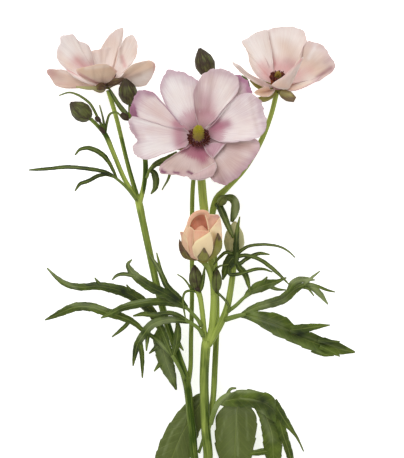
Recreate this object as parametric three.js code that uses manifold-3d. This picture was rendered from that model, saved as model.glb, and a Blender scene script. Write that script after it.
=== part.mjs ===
// A ranunculus spray: one cut flowering stem with three open blooms, a half-open peach bud,
// green buds and cut leaves, lying on a table and seen from straight above.
// Millimetres, +Z up, +Y from the cut end towards the blooms.

import * as THREE from 'three';
import Module from 'manifold-3d';

const wasm = await Module();
wasm.setup();

// Driving dimensions, in millimetres
const FRONT_BLOOM_WIDTH = 74;
const PETAL_THICKNESS = 0.7;
const LEAF_THICKNESS = 0.7;
const SEPAL_THICKNESS = 0.8;
const CLEARANCE = 0.3;
const NARROW_LOBE = 2.8;
const STEM_SIDES = 6;
const BUD_SIDES = 8;

// The picture that the spray follows: outlines below are points of it, as
// [pixels right, pixels down, height above the table in millimetres, and a width or radius]
const PICTURE_BLOOM_WIDTH = 137;
const PICTURE_CENTRE_RIGHT = 202;
const PICTURE_CENTRE_DOWN = 229;
const MM_PER_PIXEL = FRONT_BLOOM_WIDTH / PICTURE_BLOOM_WIDTH;

// Moves the bottom centre of the whole spray's box to the origin
const CENTRE_SHIFT = new THREE.Vector3(5.4, 42.8, 0);

// Colours of the real surfaces
const COLOURS = {
  stem: 0x6f8136,
  leaf: 0x4c6636,
  sepal: 0x7d7f4a,
  bud: 0x5c6540,
  mauvePetal: 0xe3cfd6,
  creamPetal: 0xe6d3c6,
  peachPetal: 0xe9b394,
  stamen: 0x4a1c16,
  pistil: 0xa3ab2f,
};

// Stems: [right, down, height, radius in millimetres]
const STEMS = {
  mainStem: [
    [204, 590, 2.45, 3.0], [204, 566, 3.9, 3.0], [203.5, 540, 5.4, 3.0], [203, 510, 7.2, 3.0],
    [202, 490, 8.4, 3.1], [201.8, 474, 9.3, 2.9],
  ],
  frontStem: [
    [202.5, 484, 8.8, 2.6], [205.5, 470, 10, 2.6], [208, 458, 11, 2.6], [206, 433, 13, 2.6],
    [205, 410, 15, 2.5], [204, 380, 17, 2.5], [206, 345, 20, 2.6], [207, 340, 20.5, 2.5],
  ],
  leftStem: [
    [201.5, 484, 8.8, 2.3], [197, 470, 9.6, 2.2], [194.5, 458, 10, 2.2], [192.5, 433, 11.5, 2.2],
    [190, 410, 12.6, 2.1], [187, 384, 14, 2.2], [178, 355, 15.5, 2.0], [166, 320, 17, 1.9],
    [158, 290, 18.5, 1.9], [149, 250, 20, 1.9], [143, 222, 21.3, 1.9], [139, 203, 22, 2.0],
    [137.5, 198, 22.3, 1.6],
  ],
  topBudStem: [
    [187.5, 387, 13.4, 1.5], [190.5, 368, 12.3, 1.3], [191, 340, 12, 1.25], [192, 300, 12, 1.25],
    [192, 260, 12.6, 1.25], [192, 225, 13.6, 1.25], [193, 185, 15.5, 1.25],
    [198, 150, 17, 1.2], [203, 120, 18.3, 1.2], [208, 88, 19.6, 1.2], [209, 76.5, 20, 1.3],
  ],
  rightBloomStem: [
    [206.5, 432, 12.6, 1.7], [210, 420, 11.8, 1.7], [213, 400, 11, 1.6], [215, 365, 10.8, 1.6],
    [216.5, 330, 11.2, 1.6], [216.5, 300, 12, 1.6], [214.5, 260, 13, 1.6], [212, 230, 14, 1.6],
    [213, 210, 15, 1.8], [218, 197, 15.8, 2.0], [226, 189, 16.5, 1.6], [245, 168, 18.5, 1.5],
    [261, 141, 19.5, 1.4], [271, 115, 19, 1.3], [276.5, 93, 18, 1.4],
  ],
  frontBloomStem: [
    [207.5, 343, 20.4, 2.0], [211.5, 330, 21.2, 1.9], [213.5, 310, 22.2, 1.9], [214, 292, 23, 1.9],
    [212, 270, 23.8, 1.9], [209, 240, 24.6, 2.0], [204, 208, 25.5, 2.3], [201.5, 180, 27.5, 2.2],
    [200, 160, 30.5, 2.0], [199.3, 148, 33.2, 1.9], [199, 140.4, 35, 1.8],
  ],
  peachBudStem: [
    [213.6, 296, 23, 1.4], [212.5, 283, 26, 1.4], [209.5, 272, 29.5, 1.4], [206.4, 265.6, 33, 1.5],
    [203.5, 262, 36.2, 1.5],
  ],
  leftKnotStem: [
    [205.5, 345, 20, 1.6], [204, 330, 21.8, 1.5], [202, 310, 24, 1.4], [199.5, 295, 25.6, 1.5],
    [197, 289.5, 26.4, 1.7],
  ],
  rightLeafStem: [
    [208.5, 345, 20, 1.9], [214, 336, 21.2, 1.9], [221, 323, 22.4, 1.9], [227, 308, 23.4, 1.8],
    [231, 287, 24.2, 1.7], [233.5, 268, 24.8, 1.6], [234.5, 257, 25.2, 1.6],
  ],
  leftBudStem: [
    [138.2, 201, 22.2, 1.5], [125, 180, 23, 1.3], [113, 152, 24.6, 1.3], [105, 134, 26.4, 1.4],
    [97.6, 125.6, 27.2, 1.1], [90.6, 118.8, 27.8, 1.1],
  ],
  leftBloomStem: [
    [138.8, 202, 22.2, 1.4], [128, 165, 22.6, 1.2], [117, 120, 23, 1.2], [108.2, 90, 23, 1.3],
  ],
  innerBudStem: [
    [139.5, 203, 22, 1.5], [144, 185, 22.8, 1.3], [145.6, 165, 24, 1.4], [142, 142, 26, 1.1],
    [134, 125, 28, 1.0], [130.6, 115, 29, 1.2], [130.4, 104.6, 29.4, 1.1],
  ],
};

// Narrow bracts that grow on the stems: [right, down, height, width in pixels]
const BRACTS = {
  leftKnotOuter: [[104.5, 130, 27.6, 3], [100, 122, 28.6, 2.6], [91, 105, 30, 2.6], [86, 100, 30, 2.4],
    [77, 94.5, 29, 2.2], [69, 92.5, 28, 1.8], [59, 95.5, 26, 1.2]],
  leftKnotUpright: [[104.5, 131, 27.6, 3], [103.5, 121, 29, 2.2], [102, 114, 30, 1.8], [99.5, 105, 31, 1.2]],
  leftKnotCurl: [[105, 133, 27, 3], [107, 122, 28.4, 2.6], [110, 114, 29.4, 2.2],
    [117, 112.5, 29.8, 1.8], [122, 118, 29.6, 1.4]],
  innerKnotStrap: [[130, 118, 29, 5], [124.5, 112, 28, 5], [117.5, 103, 26.6, 4.4], [111, 92, 25.4, 3],
    [108.5, 87.5, 24.6, 1.6]],
  frontKnotFar: [[197.5, 292, 26.6, 3], [191, 289, 28, 2.4], [188.7, 285, 28.6, 2],
    [183.4, 278.3, 29, 1.6], [177.3, 274.3, 28.4, 1.1]],
  frontKnotHook: [[197.5, 292, 26.4, 3], [191, 290.6, 28.4, 2.6], [185.4, 292, 29.4, 2.4],
    [183, 298, 31.2, 2.2], [183.4, 306.4, 34.2, 2], [185.6, 318.8, 33.4, 1.1]],
  frontKnotBlade: [[198.5, 293, 27, 3], [201.5, 287, 29.6, 4], [203.4, 277, 30.2, 3.6],
    [204.6, 267, 30.6, 1.2]],
  rightKnotHook: [[214.5, 290, 24.4, 3], [219, 294, 26.6, 2.6], [225, 300, 28.2, 2.4],
    [228.8, 306, 28.8, 2], [229.4, 313, 28.4, 1.1]],
  rightKnotFar: [[213.5, 276, 25.2, 3], [216, 269, 27, 2.4], [220, 266, 28, 2], [228.3, 264.4, 29.4, 1.1]],
  fuzzyStrap: [[216, 202, 16.6, 6], [219.5, 206.5, 20, 7], [224, 216, 25, 7], [228.5, 227, 29.4, 5.4],
    [233.6, 238, 31.2, 2]],
  fuzzyLoop: [[219, 198.5, 17.4, 5], [226, 197.6, 20.4, 6], [232, 198.4, 21.4, 8],
    [235.4, 204, 20.6, 8.4], [234.4, 213, 19, 8], [231.6, 222, 17.6, 3]],
  rightBloomTick: [[252.5, 158, 19.4, 3], [252, 118, 17, 2.4], [250, 96, 15, 2], [247, 80, 13.6, 2.4],
    [241.5, 75.5, 12.6, 1.4]],
};

// Cut leaves. A petiole is [right, down, height, radius in millimetres]; a lobe is
// [right, down, height, width in pixels]; a blade has two edges, [right, down, height]
const LEAVES = {
  upper_left_leaf: {
    petiole: [[136.4, 200, 24.8, 0.9], [126, 187, 26.4, 0.8], [117, 179, 28, 0.8], [112, 175.4, 28.8, 0.8]],
    lobes: [
      [[117, 179, 28, 2.4], [111, 166, 29, 3.5], [104, 156, 30, 5], [96, 150.5, 30, 5],
        [88, 148, 29, 4.5], [80, 149.5, 27, 3], [75, 155, 25, 1.4]],
      [[116, 178, 28, 2.4], [108, 173, 29, 3.5], [99, 170.5, 30, 4], [82, 168, 29, 4], [67, 167, 27, 4],
        [50, 168.5, 24, 3.5], [38, 169.5, 22, 3], [29, 170, 20, 1.4]],
      [[114, 177, 28, 2.4], [107, 174.5, 28, 3.5], [99, 175.5, 27, 4], [88, 181, 25, 4],
        [80, 184, 23, 3.5], [75, 191, 21, 1.4]],
    ],
  },
  upper_inner_leaf: {
    petiole: [[146.5, 178, 25.6, 0.9], [149.5, 170, 26.4, 0.8], [153, 165, 26.6, 0.8]],
    lobes: [
      [[149, 171, 26.4, 3], [156, 164, 26.4, 5.5], [167, 158.5, 26, 5.5], [177, 152, 25, 2]],
      [[149.4, 170, 26.4, 3], [154, 173, 25.6, 6], [156, 181, 23.6, 6.5], [155, 188, 21.6, 5],
        [151, 194, 19.6, 1.4]],
      [[156, 164.4, 26.4, 3], [165, 165, 26.4, 3.4], [169.6, 170, 25.4, 3.2], [169, 177, 23.6, 2.6],
        [162, 190, 20.6, 1.2]],
    ],
  },
  left_leaf: {
    petiole: [[184.5, 379, 16.6, 1.0], [179.5, 368, 19.8, 1.0], [172, 355, 21.4, 1.0]],
    lobes: [
      [[172, 356, 21.4, 3], [163, 333, 20.8, 7], [153, 314, 20.5, 9], [143, 303, 20.5, 11],
        [130, 294, 21, 11], [115, 289, 21, 10], [98, 286, 20, 8], [80, 287, 18, 7], [66, 284, 15, 6],
        [56, 277, 12, 4], [47, 268, 9, 1.4]],
      [[131, 292, 21, 5], [126.5, 284.5, 20.4, 1.2]],
      [[101, 286, 20.2, 5], [94.6, 277.6, 19.4, 1.2]],
      [[172, 356, 21.4, 3], [157, 340, 20, 4.4], [144, 331, 20, 4.4], [133, 322, 21, 6],
        [122, 317, 22, 8], [106, 312, 22, 9], [91, 307, 21, 9], [75.5, 307, 19, 9],
        [62.5, 312, 16, 7.5], [54, 316, 13, 5], [45, 320, 10, 1.4]],
      [[131, 320, 21.2, 3.6], [122, 329, 19.4, 4], [112, 337, 17, 1.4]],
      [[162, 328, 20.8, 7], [160, 337, 19, 13], [163, 350, 16.5, 17], [167, 365, 14, 15],
        [172, 378, 12, 9], [176.4, 390, 10, 1.6]],
      [[158, 346, 18, 6], [149, 353.6, 16.4, 1.2]],
      [[160, 364, 14.6, 5], [154, 371.4, 13.4, 1.2]],
      [[173, 356, 21.4, 4], [176.5, 342, 21.4, 8], [178, 329, 21.4, 6], [177, 319, 20.6, 1.6]],
      [[177, 341, 21.4, 6], [183.4, 350.6, 19.6, 1.2]],
    ],
  },
  front_upper_leaf: {
    petiole: [[201.4, 326, 25, 1.3], [198, 320, 26.6, 1.1], [192, 313, 28, 1.0], [186, 307, 29.4, 0.9]],
    lobes: [
      [[187, 308, 29.2, 4], [180, 302.5, 31, 8], [165.5, 294, 33, 9.5], [151, 287, 34, 10],
        [138, 278, 33, 9], [131, 271, 31, 7], [128, 264, 28, 4], [132, 259.5, 26, 1.4]],
      [[136, 276, 32.8, 4], [122, 274, 30, 4], [116, 276, 28, 3], [112, 280, 26.4, 1.2]],
      [[187, 307, 29.2, 3], [180, 298.5, 31, 5], [167, 286, 33, 6], [160, 271, 32, 5], [147, 251, 28, 1.4]],
      [[162, 275, 32.2, 4], [156.6, 252.6, 30, 1.2]],
      [[187, 308, 29.2, 4], [181, 305, 28.6, 6], [165.5, 302, 30, 8], [149, 302, 31, 8],
        [133, 305, 29.4, 8], [122, 308, 28.4, 7], [110, 314, 27, 5], [101, 318, 26, 1.4]],
    ],
  },
  front_lower_leaf: {
    petiole: [[203, 336, 23.2, 1.3], [199, 329, 25.2, 1.1], [192, 323.6, 26.4, 1.0], [187, 320.5, 27, 0.9]],
    lobes: [
      [[189, 321.6, 26.8, 3], [176, 314.4, 27.4, 4.6], [167, 313, 27.6, 5], [155, 315, 27, 5],
        [143, 314, 25.4, 4.5], [133, 316, 23.6, 1.4]],
      [[189, 321.8, 26.8, 4], [171, 319.6, 28, 7], [160, 321, 28.6, 8.5], [150, 326, 28, 8.5],
        [144, 334, 26.6, 8], [138, 343, 24, 7], [135, 354, 20, 5], [133, 366, 17, 1.4]],
      [[149, 326, 28, 5], [147.4, 338, 25, 4.4], [146.4, 351, 22, 1.2]],
      [[139.6, 341, 24.6, 5], [142, 356, 20.4, 5], [142.4, 378, 15, 1.4]],
    ],
  },
  right_leaf: {
    petiole: [[225.4, 319.6, 23.8, 1.4], [236, 316.4, 27.4, 1.3], [243.4, 314.6, 29, 1.1]],
    lobes: [
      [[240, 315.6, 28.2, 3], [248, 311, 30, 6], [257, 307, 30.4, 8], [271, 303, 30, 9],
        [283, 299, 29, 10], [292, 291.5, 28, 9], [300, 286.6, 27.4, 6.4], [310, 284.4, 26, 3.6],
        [319, 286.8, 24.4, 3.2], [327, 290, 22.8, 2.6], [335, 292, 21.4, 1.2]],
      [[288, 292, 28.2, 5], [294.6, 282, 28, 7], [304, 279.4, 27.4, 6], [315, 280, 26, 1.2]],
      [[303, 286, 27.2, 4], [309, 280, 27, 3.4], [320, 271, 26, 1.2]],
      [[306, 284, 26, 4], [313, 287.6, 25, 6.4], [320, 294, 24.4, 6], [328, 304.4, 22.4, 1.2]],
      [[302, 287, 27, 3], [308.4, 289, 26, 2.4], [314, 296, 25, 1.2]],
      [[290, 330, 34, 9], [304, 328.4, 33, 9], [317, 326.4, 31.4, 5.6], [330, 325, 29.4, 1.2]],
      [[312, 349, 29.8, 7], [324, 354, 28.4, 5], [334, 355.6, 26.4, 1.2]],
      [[318, 340, 31.4, 6], [330, 341.4, 29.6, 4], [340, 341.6, 28, 1.2]],
      [[320, 346, 30, 6], [333, 352, 27.6, 5], [340, 356.4, 26, 1.2]],
    ],
    blades: [{
      upper: [[241, 313.4, 28.6], [250, 311.8, 30], [262, 311.4, 31.6], [276, 313, 33], [286, 317, 34],
        [295, 325, 34], [308, 331, 32.8], [323, 337, 30.6], [338, 342, 28], [355, 351, 24.6]],
      lower: [[240, 317.6, 28.6], [246, 319, 29.4], [254, 322.6, 30.6], [265, 329.4, 32],
        [276, 336, 33], [288, 340.8, 32.8], [300, 346.4, 31.6], [312, 351, 30], [330, 355, 27.6],
        [355, 353.2, 24.6]],
      keel: -1.2,
    }],
  },
  right_small_leaf: {
    petiole: [[227.8, 311.4, 24.6, 1.1], [236, 305.4, 26.8, 1.0], [243, 298.6, 26.6, 0.9],
      [249, 293.4, 26.4, 0.8]],
    lobes: [
      [[243, 299, 26.6, 2.4], [250, 292, 26.4, 7], [258, 287.4, 26, 11], [267, 284.4, 25, 10.4],
        [277, 281.6, 23.6, 5], [286.4, 277.6, 22, 1.4]],
      [[262, 284, 25.4, 6], [267.4, 276.6, 24.8, 1.2]],
      [[268, 285, 24.8, 5], [276, 289, 23, 3.4], [286, 290, 21.4, 1.2]],
    ],
  },
  upper_right_leaf: {
    petiole: [[235.6, 264, 28, 0.9], [236.6, 257, 29, 1.0], [237.4, 252, 29.6, 1.0]],
    lobes: [
      [[236.6, 256, 29, 3.6], [239.6, 252, 30, 3.4], [248, 246.4, 32, 3.2], [256.5, 244.8, 33, 3],
        [267, 244.6, 33, 2.8], [279.4, 246.6, 32, 2.2], [288, 251, 31, 1.8], [295.2, 257.6, 30, 1]],
      [[237, 257, 29, 4], [242.4, 255.4, 30, 4], [251.2, 256.3, 31.4, 4], [261, 260.2, 32.4, 4],
        [271.5, 267.7, 32.8, 4], [280.3, 275.6, 32.6, 3], [289, 284.4, 32, 1.2]],
      [[236.4, 262, 28.4, 4], [240, 263.4, 28.4, 4], [245, 259.8, 28.4, 4], [253, 255.4, 28, 4],
        [260, 253.4, 27.6, 3.6], [269.7, 254.5, 27, 1.2]],
      [[236.6, 261, 28.6, 4], [239, 267, 28.4, 6], [245, 274, 27.6, 6], [248.4, 284.4, 28, 4],
        [250, 291.5, 28.8, 1.2]],
      [[236, 262, 28.4, 8], [233, 258, 29, 12], [228.4, 264, 28.4, 11], [225, 272, 27, 7],
        [222.6, 280, 25.2, 1.4]],
      [[236.4, 258, 29, 6], [236, 249, 31, 6], [236.4, 240, 33.4, 5.4], [237.4, 229, 34.6, 4],
        [239.8, 216.6, 35, 1.2]],
      [[233, 254, 29.8, 4], [226, 252.4, 30.6, 3.4], [220, 257, 30.4, 3], [213.4, 265, 30, 1.2]],
      [[229, 266, 28.4, 4], [229.4, 274, 28.2, 3.6], [236, 274.4, 29, 3.6], [245, 272.4, 30.6, 3.4],
        [254, 269.5, 30.4, 3.4], [263, 269, 29.6, 2.6], [272.4, 272, 28.8, 1.2]],
    ],
  },
  lower_right_leaf: {
    petiole: [[210.8, 424, 15.4, 1.3], [213, 415, 18, 1.4], [217, 405, 21, 1.5], [223, 398, 23.6, 1.5],
      [231, 393.4, 25, 1.3]],
    lobes: [
      [[226, 396, 24.2, 3], [231, 388.8, 26, 3], [236.4, 388.2, 26.4, 1.6]],
      [[273, 401, 23, 9], [280, 413, 21, 9], [286, 422.5, 19, 8], [291, 429, 17, 5],
        [297, 437.5, 15, 2.6], [303.7, 451.4, 12, 1.2]],
      [[275, 408, 21.6, 11], [280, 423, 18, 10], [283, 434.3, 15.5, 9], [286.6, 444.3, 13, 8],
        [290, 455.7, 11, 7], [293, 468, 9, 4], [295, 477, 7.6, 1.4]],
      [[260, 408, 23, 10], [267.4, 420, 18.6, 15], [272, 435, 15, 19], [273, 450, 12, 18],
        [274, 465, 9.4, 13], [276, 480, 7, 7], [277, 492, 5.4, 1.6]],
      [[271, 450, 12, 7], [258, 452.4, 10.4, 6.4], [247, 453.4, 9.4, 4]],
    ],
    blades: [
      {
        upper: [[222, 398, 23.4], [230, 393, 26], [237, 390.4, 27.2], [248, 389.3, 28],
          [259.4, 391.4, 28], [269.4, 393.8, 27], [274.6, 398.4, 25], [276.4, 406, 22]],
        lower: [[219.6, 405, 21.4], [225, 406.6, 23], [232, 407.2, 24.4], [241, 407.6, 25.6],
          [251, 408, 26], [259, 411.6, 25], [266, 416.4, 23], [276.4, 423.6, 19]],
        keel: 1.6,
      },
      {
        upper: [[224, 406, 22.6], [216.6, 415, 17], [215.4, 427, 13.4], [215, 441, 10],
          [217.4, 455, 7.8], [226, 472, 6], [238, 488, 4.4]],
        lower: [[251, 407, 24], [256.6, 417, 18], [256.6, 430, 14], [254, 448, 10.4], [251, 460, 8.4],
          [247, 475, 6.2], [241, 489, 4.4]],
        keel: 0.8,
      },
    ],
  },
  lower_left_leaf: {
    petiole: [[198.6, 453, 8.2, 0.9], [202, 443, 7.6, 0.9], [205, 430, 8, 0.9], [206.6, 415, 9, 0.9],
      [206, 404, 9.4, 1.0]],
    lobes: [],
    blades: [{
      upper: [[206.6, 394, 10], [198, 393.6, 9], [185, 404, 7], [174, 417, 5.6], [165, 431, 4.6],
        [158, 447, 3.6], [154, 463, 2.8], [153, 478, 2.2], [157, 493, 1.8]],
      lower: [[208, 399, 10], [206.6, 409, 8.6], [204, 420, 7.4], [200, 431, 6.4], [196, 441, 5.6],
        [192, 452, 4.8], [187, 465, 3.8], [177, 480, 2.6], [159, 494, 1.8]],
      keel: 0.5,
    }],
  },
};

// Green buds: the base, the tip and the widest radius in millimetres
const GREEN_BUDS = {
  left_bud: { base: [90.4, 118.6, 27.8], tip: [70.6, 103, 27.6], radius: 5.0 },
  inner_left_bud: { base: [130.4, 104, 29.4], tip: [125.2, 79, 33.6], radius: 5.0 },
  top_bud: { base: [209.2, 76, 20], tip: [199.6, 48.6, 20], radius: 5.3 },
  left_knot_bud: { base: [196.6, 289, 26.6], tip: [194.6, 265.6, 30], radius: 3.5 },
  right_knot_bud: { base: [216.6, 291.4, 26.2], tip: [217.6, 270, 30], radius: 2.5 },
  right_bud: { base: [233.8, 256, 25.2], tip: [235, 222, 23], radius: 5.3 },
  fuzzy_bud: { base: [219.6, 204.6, 19.4], tip: [225.6, 196.6, 22.6], radius: 2.2 },
};

// Radii of a bud along its length, as shares of the length and of the widest radius
const BUD_PROFILE = [[0, 0.34], [0.15, 0.76], [0.4, 1], [0.66, 0.86], [0.88, 0.42], [1, 0.1]];

// Open blooms. A petal opens like a fan from its base to its rim, [right, down, height]
const FRONT_BLOOM = {
  centre: [198.6, 134.5, 39],
  axis: [0, 0.3, 0.95],
  receptacleRadius: 5.2,
  lean: 0.27,
  cup: 7,
  petals: [
    { lift: 0.0, rim: [[180, 124], [165, 104], [160, 87], [163, 77], [168, 71], [176, 70.5], [184, 72],
      [191, 76], [198, 81.5], [200, 96], [200, 112]] },
    { lift: 2.3, rim: [[195, 114], [193.6, 94], [197, 84], [205, 73], [214, 69], [222.5, 69],
      [231, 71.4], [237.4, 78], [239, 86], [236, 94], [226, 106], [216, 119]] },
    { lift: -1.2, rim: [[221, 92], [228, 79], [236, 75], [244.5, 78], [250, 85], [252, 93], [246, 102],
      [232, 113]] },
    { lift: 3.4, rim: [[216, 121], [230, 104], [240, 94.6], [251, 93], [260, 99], [264.4, 111],
      [266, 123], [263.4, 133], [256, 139.4], [240, 142], [220, 142]] },
    { lift: -0.2, rim: [[222, 141], [240, 141], [258, 140], [259, 147], [255.6, 155], [250, 164],
      [242, 173], [234, 181], [226, 185], [217, 182.6], [211, 178], [210, 164], [205, 150]] },
    { lift: 2, rim: [[187, 148], [177, 152.6], [166, 160], [158.4, 169], [164, 174], [177, 174],
      [190, 178.4], [200, 180], [212, 176], [216, 168], [213, 158], [206, 148]] },
    { lift: -0.2, rim: [[182, 130], [162, 126], [147, 122], [134, 119], [129, 110], [132, 102],
      [134.4, 95], [138, 91.6], [145, 90], [153, 92.4], [158, 99], [167, 108], [178, 122]] },
    { lift: 1.1, rim: [[186, 147], [171, 151.6], [158, 156], [148, 159.6], [140, 158.6], [134, 152],
      [131, 147], [137, 141.6], [132, 133], [129, 124], [132, 117], [148, 120], [168, 127], [183, 131]] },
  ],
};

const LEFT_BLOOM = {
  centre: [106.4, 82, 23],
  axis: [0, 1, 0.05],
  receptacleRadius: 3.6,
  petals: [
    { bulge: [-2, 0, -3], rim: [[84, 82, 18], [66, 69.6, 16], [57.4, 58, 13.4], [57.4, 49, 12.6],
      [60.2, 43, 13], [60.6, 37, 14], [66, 34.6, 15], [73, 34.2, 16], [76, 38.4, 16.4],
      [80, 41.4, 16.8], [86.6, 43.6, 17], [90, 48, 17.4], [91.6, 54, 18.2], [93, 64, 19.4]] },
    { bulge: [0, -2, -6], rim: [[93, 66, 13], [90, 56, 10], [92, 50.6, 8.6], [100, 49, 7],
      [110, 47.6, 6], [119.6, 47.4, 7], [122.4, 57, 10], [119, 69, 15]] },
    { bulge: [0, 0, -6], rim: [[98, 62, 5], [100.6, 49, 3.4], [108, 37, 2.4], [115, 30, 2.4],
      [123, 27.6, 3], [122.4, 39, 4], [119, 52, 6], [116, 64, 10]] },
    { bulge: [2, 0, -3], rim: [[116, 66, 17], [119, 49, 15], [126.6, 36.6, 13], [132, 35, 13],
      [137, 42, 14.4], [137, 54, 17], [133, 62, 19], [122, 73, 21.4]] },
    { bulge: [2, -1, 2], rim: [[124, 72, 31], [134, 63.6, 34], [152, 61, 35], [155.4, 65, 34],
      [154, 73, 31], [144.6, 85.6, 25], [134.6, 85.6, 24], [125, 82, 23]] },
    { bulge: [0, -3, 6], rim: [[82, 77.6, 33], [76.4, 69.6, 40], [86, 66.6, 44], [98, 64.2, 46],
      [106.4, 64.4, 45.4], [113.6, 68, 39], [117.4, 71.4, 34]] },
    { bulge: [-2, -2, 2], rim: [[84, 84.6, 26], [73, 87, 27.6], [63, 88, 28], [55.6, 85, 28],
      [51, 79, 26.4], [46.4, 71, 24], [54, 69.6, 22], [66, 70, 21], [82, 78.6, 21.6]] },
    { bulge: [0, -2, -8], rim: [[92, 80, 10], [84, 73, 4], [86, 66, 0.9], [95, 62.6, 0.0],
      [105, 62, -0.05], [114, 63, 0.1], [120, 68, 3], [120, 77, 10]] },
  ],
};

const RIGHT_BLOOM = {
  centre: [278, 85.6, 18],
  axis: [0, 0.82, 0.57],
  receptacleRadius: 3.6,
  petals: [
    { bulge: [-1, 0, -4], rim: [[260, 79, 15], [253.6, 72, 12], [250, 63, 9], [247.6, 53, 6],
      [243, 44.6, 4], [242, 41, 4], [247, 37.6, 3], [259, 31, 2.4], [267, 30, 2.2], [270, 42, 4.8],
      [273, 62, 11]] },
    { bulge: [0, 0, -5], rim: [[268, 66, 11], [262.6, 50, 5], [264, 34, 1.2], [270, 28.6, 0.2],
      [277, 27, 0.1], [285, 26.2, 0.1], [294, 27.2, 0.6], [302, 30, 2.4], [306.4, 39, 5.4],
      [306, 51, 9], [300, 63, 13], [290, 74, 16]] },
    { bulge: [2, 0, -3], rim: [[294, 73, 18], [301, 57, 16], [307, 41.6, 15], [314, 41.6, 15.6],
      [324, 46.4, 17], [330, 56, 20], [335, 64, 23], [334, 69, 25], [330, 74.6, 27], [316, 82, 27],
      [298, 85, 23]] },
    { bulge: [1, -1, 1], rim: [[290, 84, 23.6], [300, 81.6, 26], [314, 79, 29], [321, 76, 33],
      [316, 82, 37], [302, 88.4, 36], [291, 91, 29]] },
    { bulge: [0, -2, 6], rim: [[272, 85, 25], [276, 81, 30], [283, 77, 34.6], [290, 70.6, 38.4],
      [297.6, 62.4, 41.6], [303, 57.2, 43], [301.6, 65, 42], [296, 76, 36], [289, 88.6, 28]] },
    { bulge: [-2, -2, 0], rim: [[266, 82, 19], [250, 74, 19.6], [238.6, 65.4, 21.6], [232, 61.6, 24.6],
      [237, 68.6, 29], [250, 79, 31], [264, 86.4, 27.6]] },
    { bulge: [-1, -3, 3], rim: [[269, 86.4, 26], [261, 88, 31], [254, 92.6, 36], [258, 95.4, 38],
      [267, 96, 36.6], [272.6, 92, 31]] },
  ],
};

// Sepals under each bloom: lobes that leave a small disc on the stem's end
const SEPALS = {
  front_bloom: {
    discRadius: 2.8,
    lobes: [
      [[195, 128, 34.6, 13], [186, 112, 32, 2]],
      [[208, 129, 34.6, 13], [220, 115, 33, 2]],
      [[186, 144, 35.8, 13], [168, 146, 37.4, 2]],
      [[212, 147, 36.4, 13], [229, 154, 39, 2]],
      [[196, 153, 37.4, 13], [191, 170, 41, 2]],
    ],
  },
  left_bloom: {
    discRadius: 2.2,
    lobes: [
      [[97, 88, 28, 4], [87, 88, 30.4, 3.4], [76, 86.8, 31.4, 1.6]],
      [[105, 87, 30, 6], [101, 86.4, 33.6, 8], [96.4, 87.6, 35.6, 4]],
      [[109, 84.4, 28, 5], [114, 82, 29.6, 7.4], [119, 80.4, 30.4, 5.4], [124, 78.4, 30.6, 1.6]],
      [[112, 84.4, 18.6, 5], [122, 82, 12.6, 2]],
      [[100, 89, 16.6, 8], [90, 87, 9, 2]],
    ],
  },
  right_bloom: {
    discRadius: 2.2,
    lobes: [
      [[268, 89.6, 18, 5], [258, 86, 19, 5], [250, 80, 19.6, 2]],
      [[270, 96.4, 23, 6], [263, 99, 28, 6], [256, 99, 32, 2]],
      [[283, 93.4, 21, 9], [288.6, 96.4, 24, 10], [295, 99.8, 25.6, 5]],
      [[287, 89, 11.6, 8], [302, 84, 6.4, 2]],
      [[270.6, 86.6, 9, 8], [261, 78, 3, 2]],
    ],
  },
};

// Peach bud: a cup of wrapped petals. Heights run along its axis from the base
const PEACH_BUD = {
  base: [203.2, 261.2, 36.4],
  top: [203.4, 215, 42.6],
  radius: 10.6,
  profile: [[0, 0.25], [0.04, 0.44], [0.11, 0.7], [0.24, 0.95], [0.45, 1.03], [0.7, 0.93], [0.9, 0.8],
    [1, 0.7]],
};

// Small helpers

function place([right, down, height]) {
  const x = (right - PICTURE_CENTRE_RIGHT) * MM_PER_PIXEL;
  const y = (PICTURE_CENTRE_DOWN - down) * MM_PER_PIXEL;
  return new THREE.Vector3(x, y, height);
}

function solidFrom(points, triangles) {
  let volume = 0;
  for (const [a, b, c] of triangles) {
    const cross = new THREE.Vector3().crossVectors(points[b], points[c]);
    volume += points[a].dot(cross) / 6;
  }
  const faces = volume > 0 ? triangles : triangles.map(([a, b, c]) => [a, c, b]);
  const vertProperties = new Float32Array(points.flatMap((p) => [p.x, p.y, p.z]));
  const triVerts = new Uint32Array(faces.flat());
  const solid = new wasm.Manifold(new wasm.Mesh({ numProp: 3, vertProperties, triVerts }));
  return solid;
}

// One outer skin: loose scraps and sealed hollows are dropped
function mainBody(solid) {
  const bodies = solid.decompose().filter((body) => body.volume() > 0);
  bodies.sort((a, b) => b.volume() - a.volume());
  return bodies[0];
}

function join(solids) {
  return solids.reduce((whole, solid) => whole.add(solid));
}

function cutBy(solid, others) {
  return others.reduce((rest, other) => rest.subtract(other), solid);
}

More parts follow.
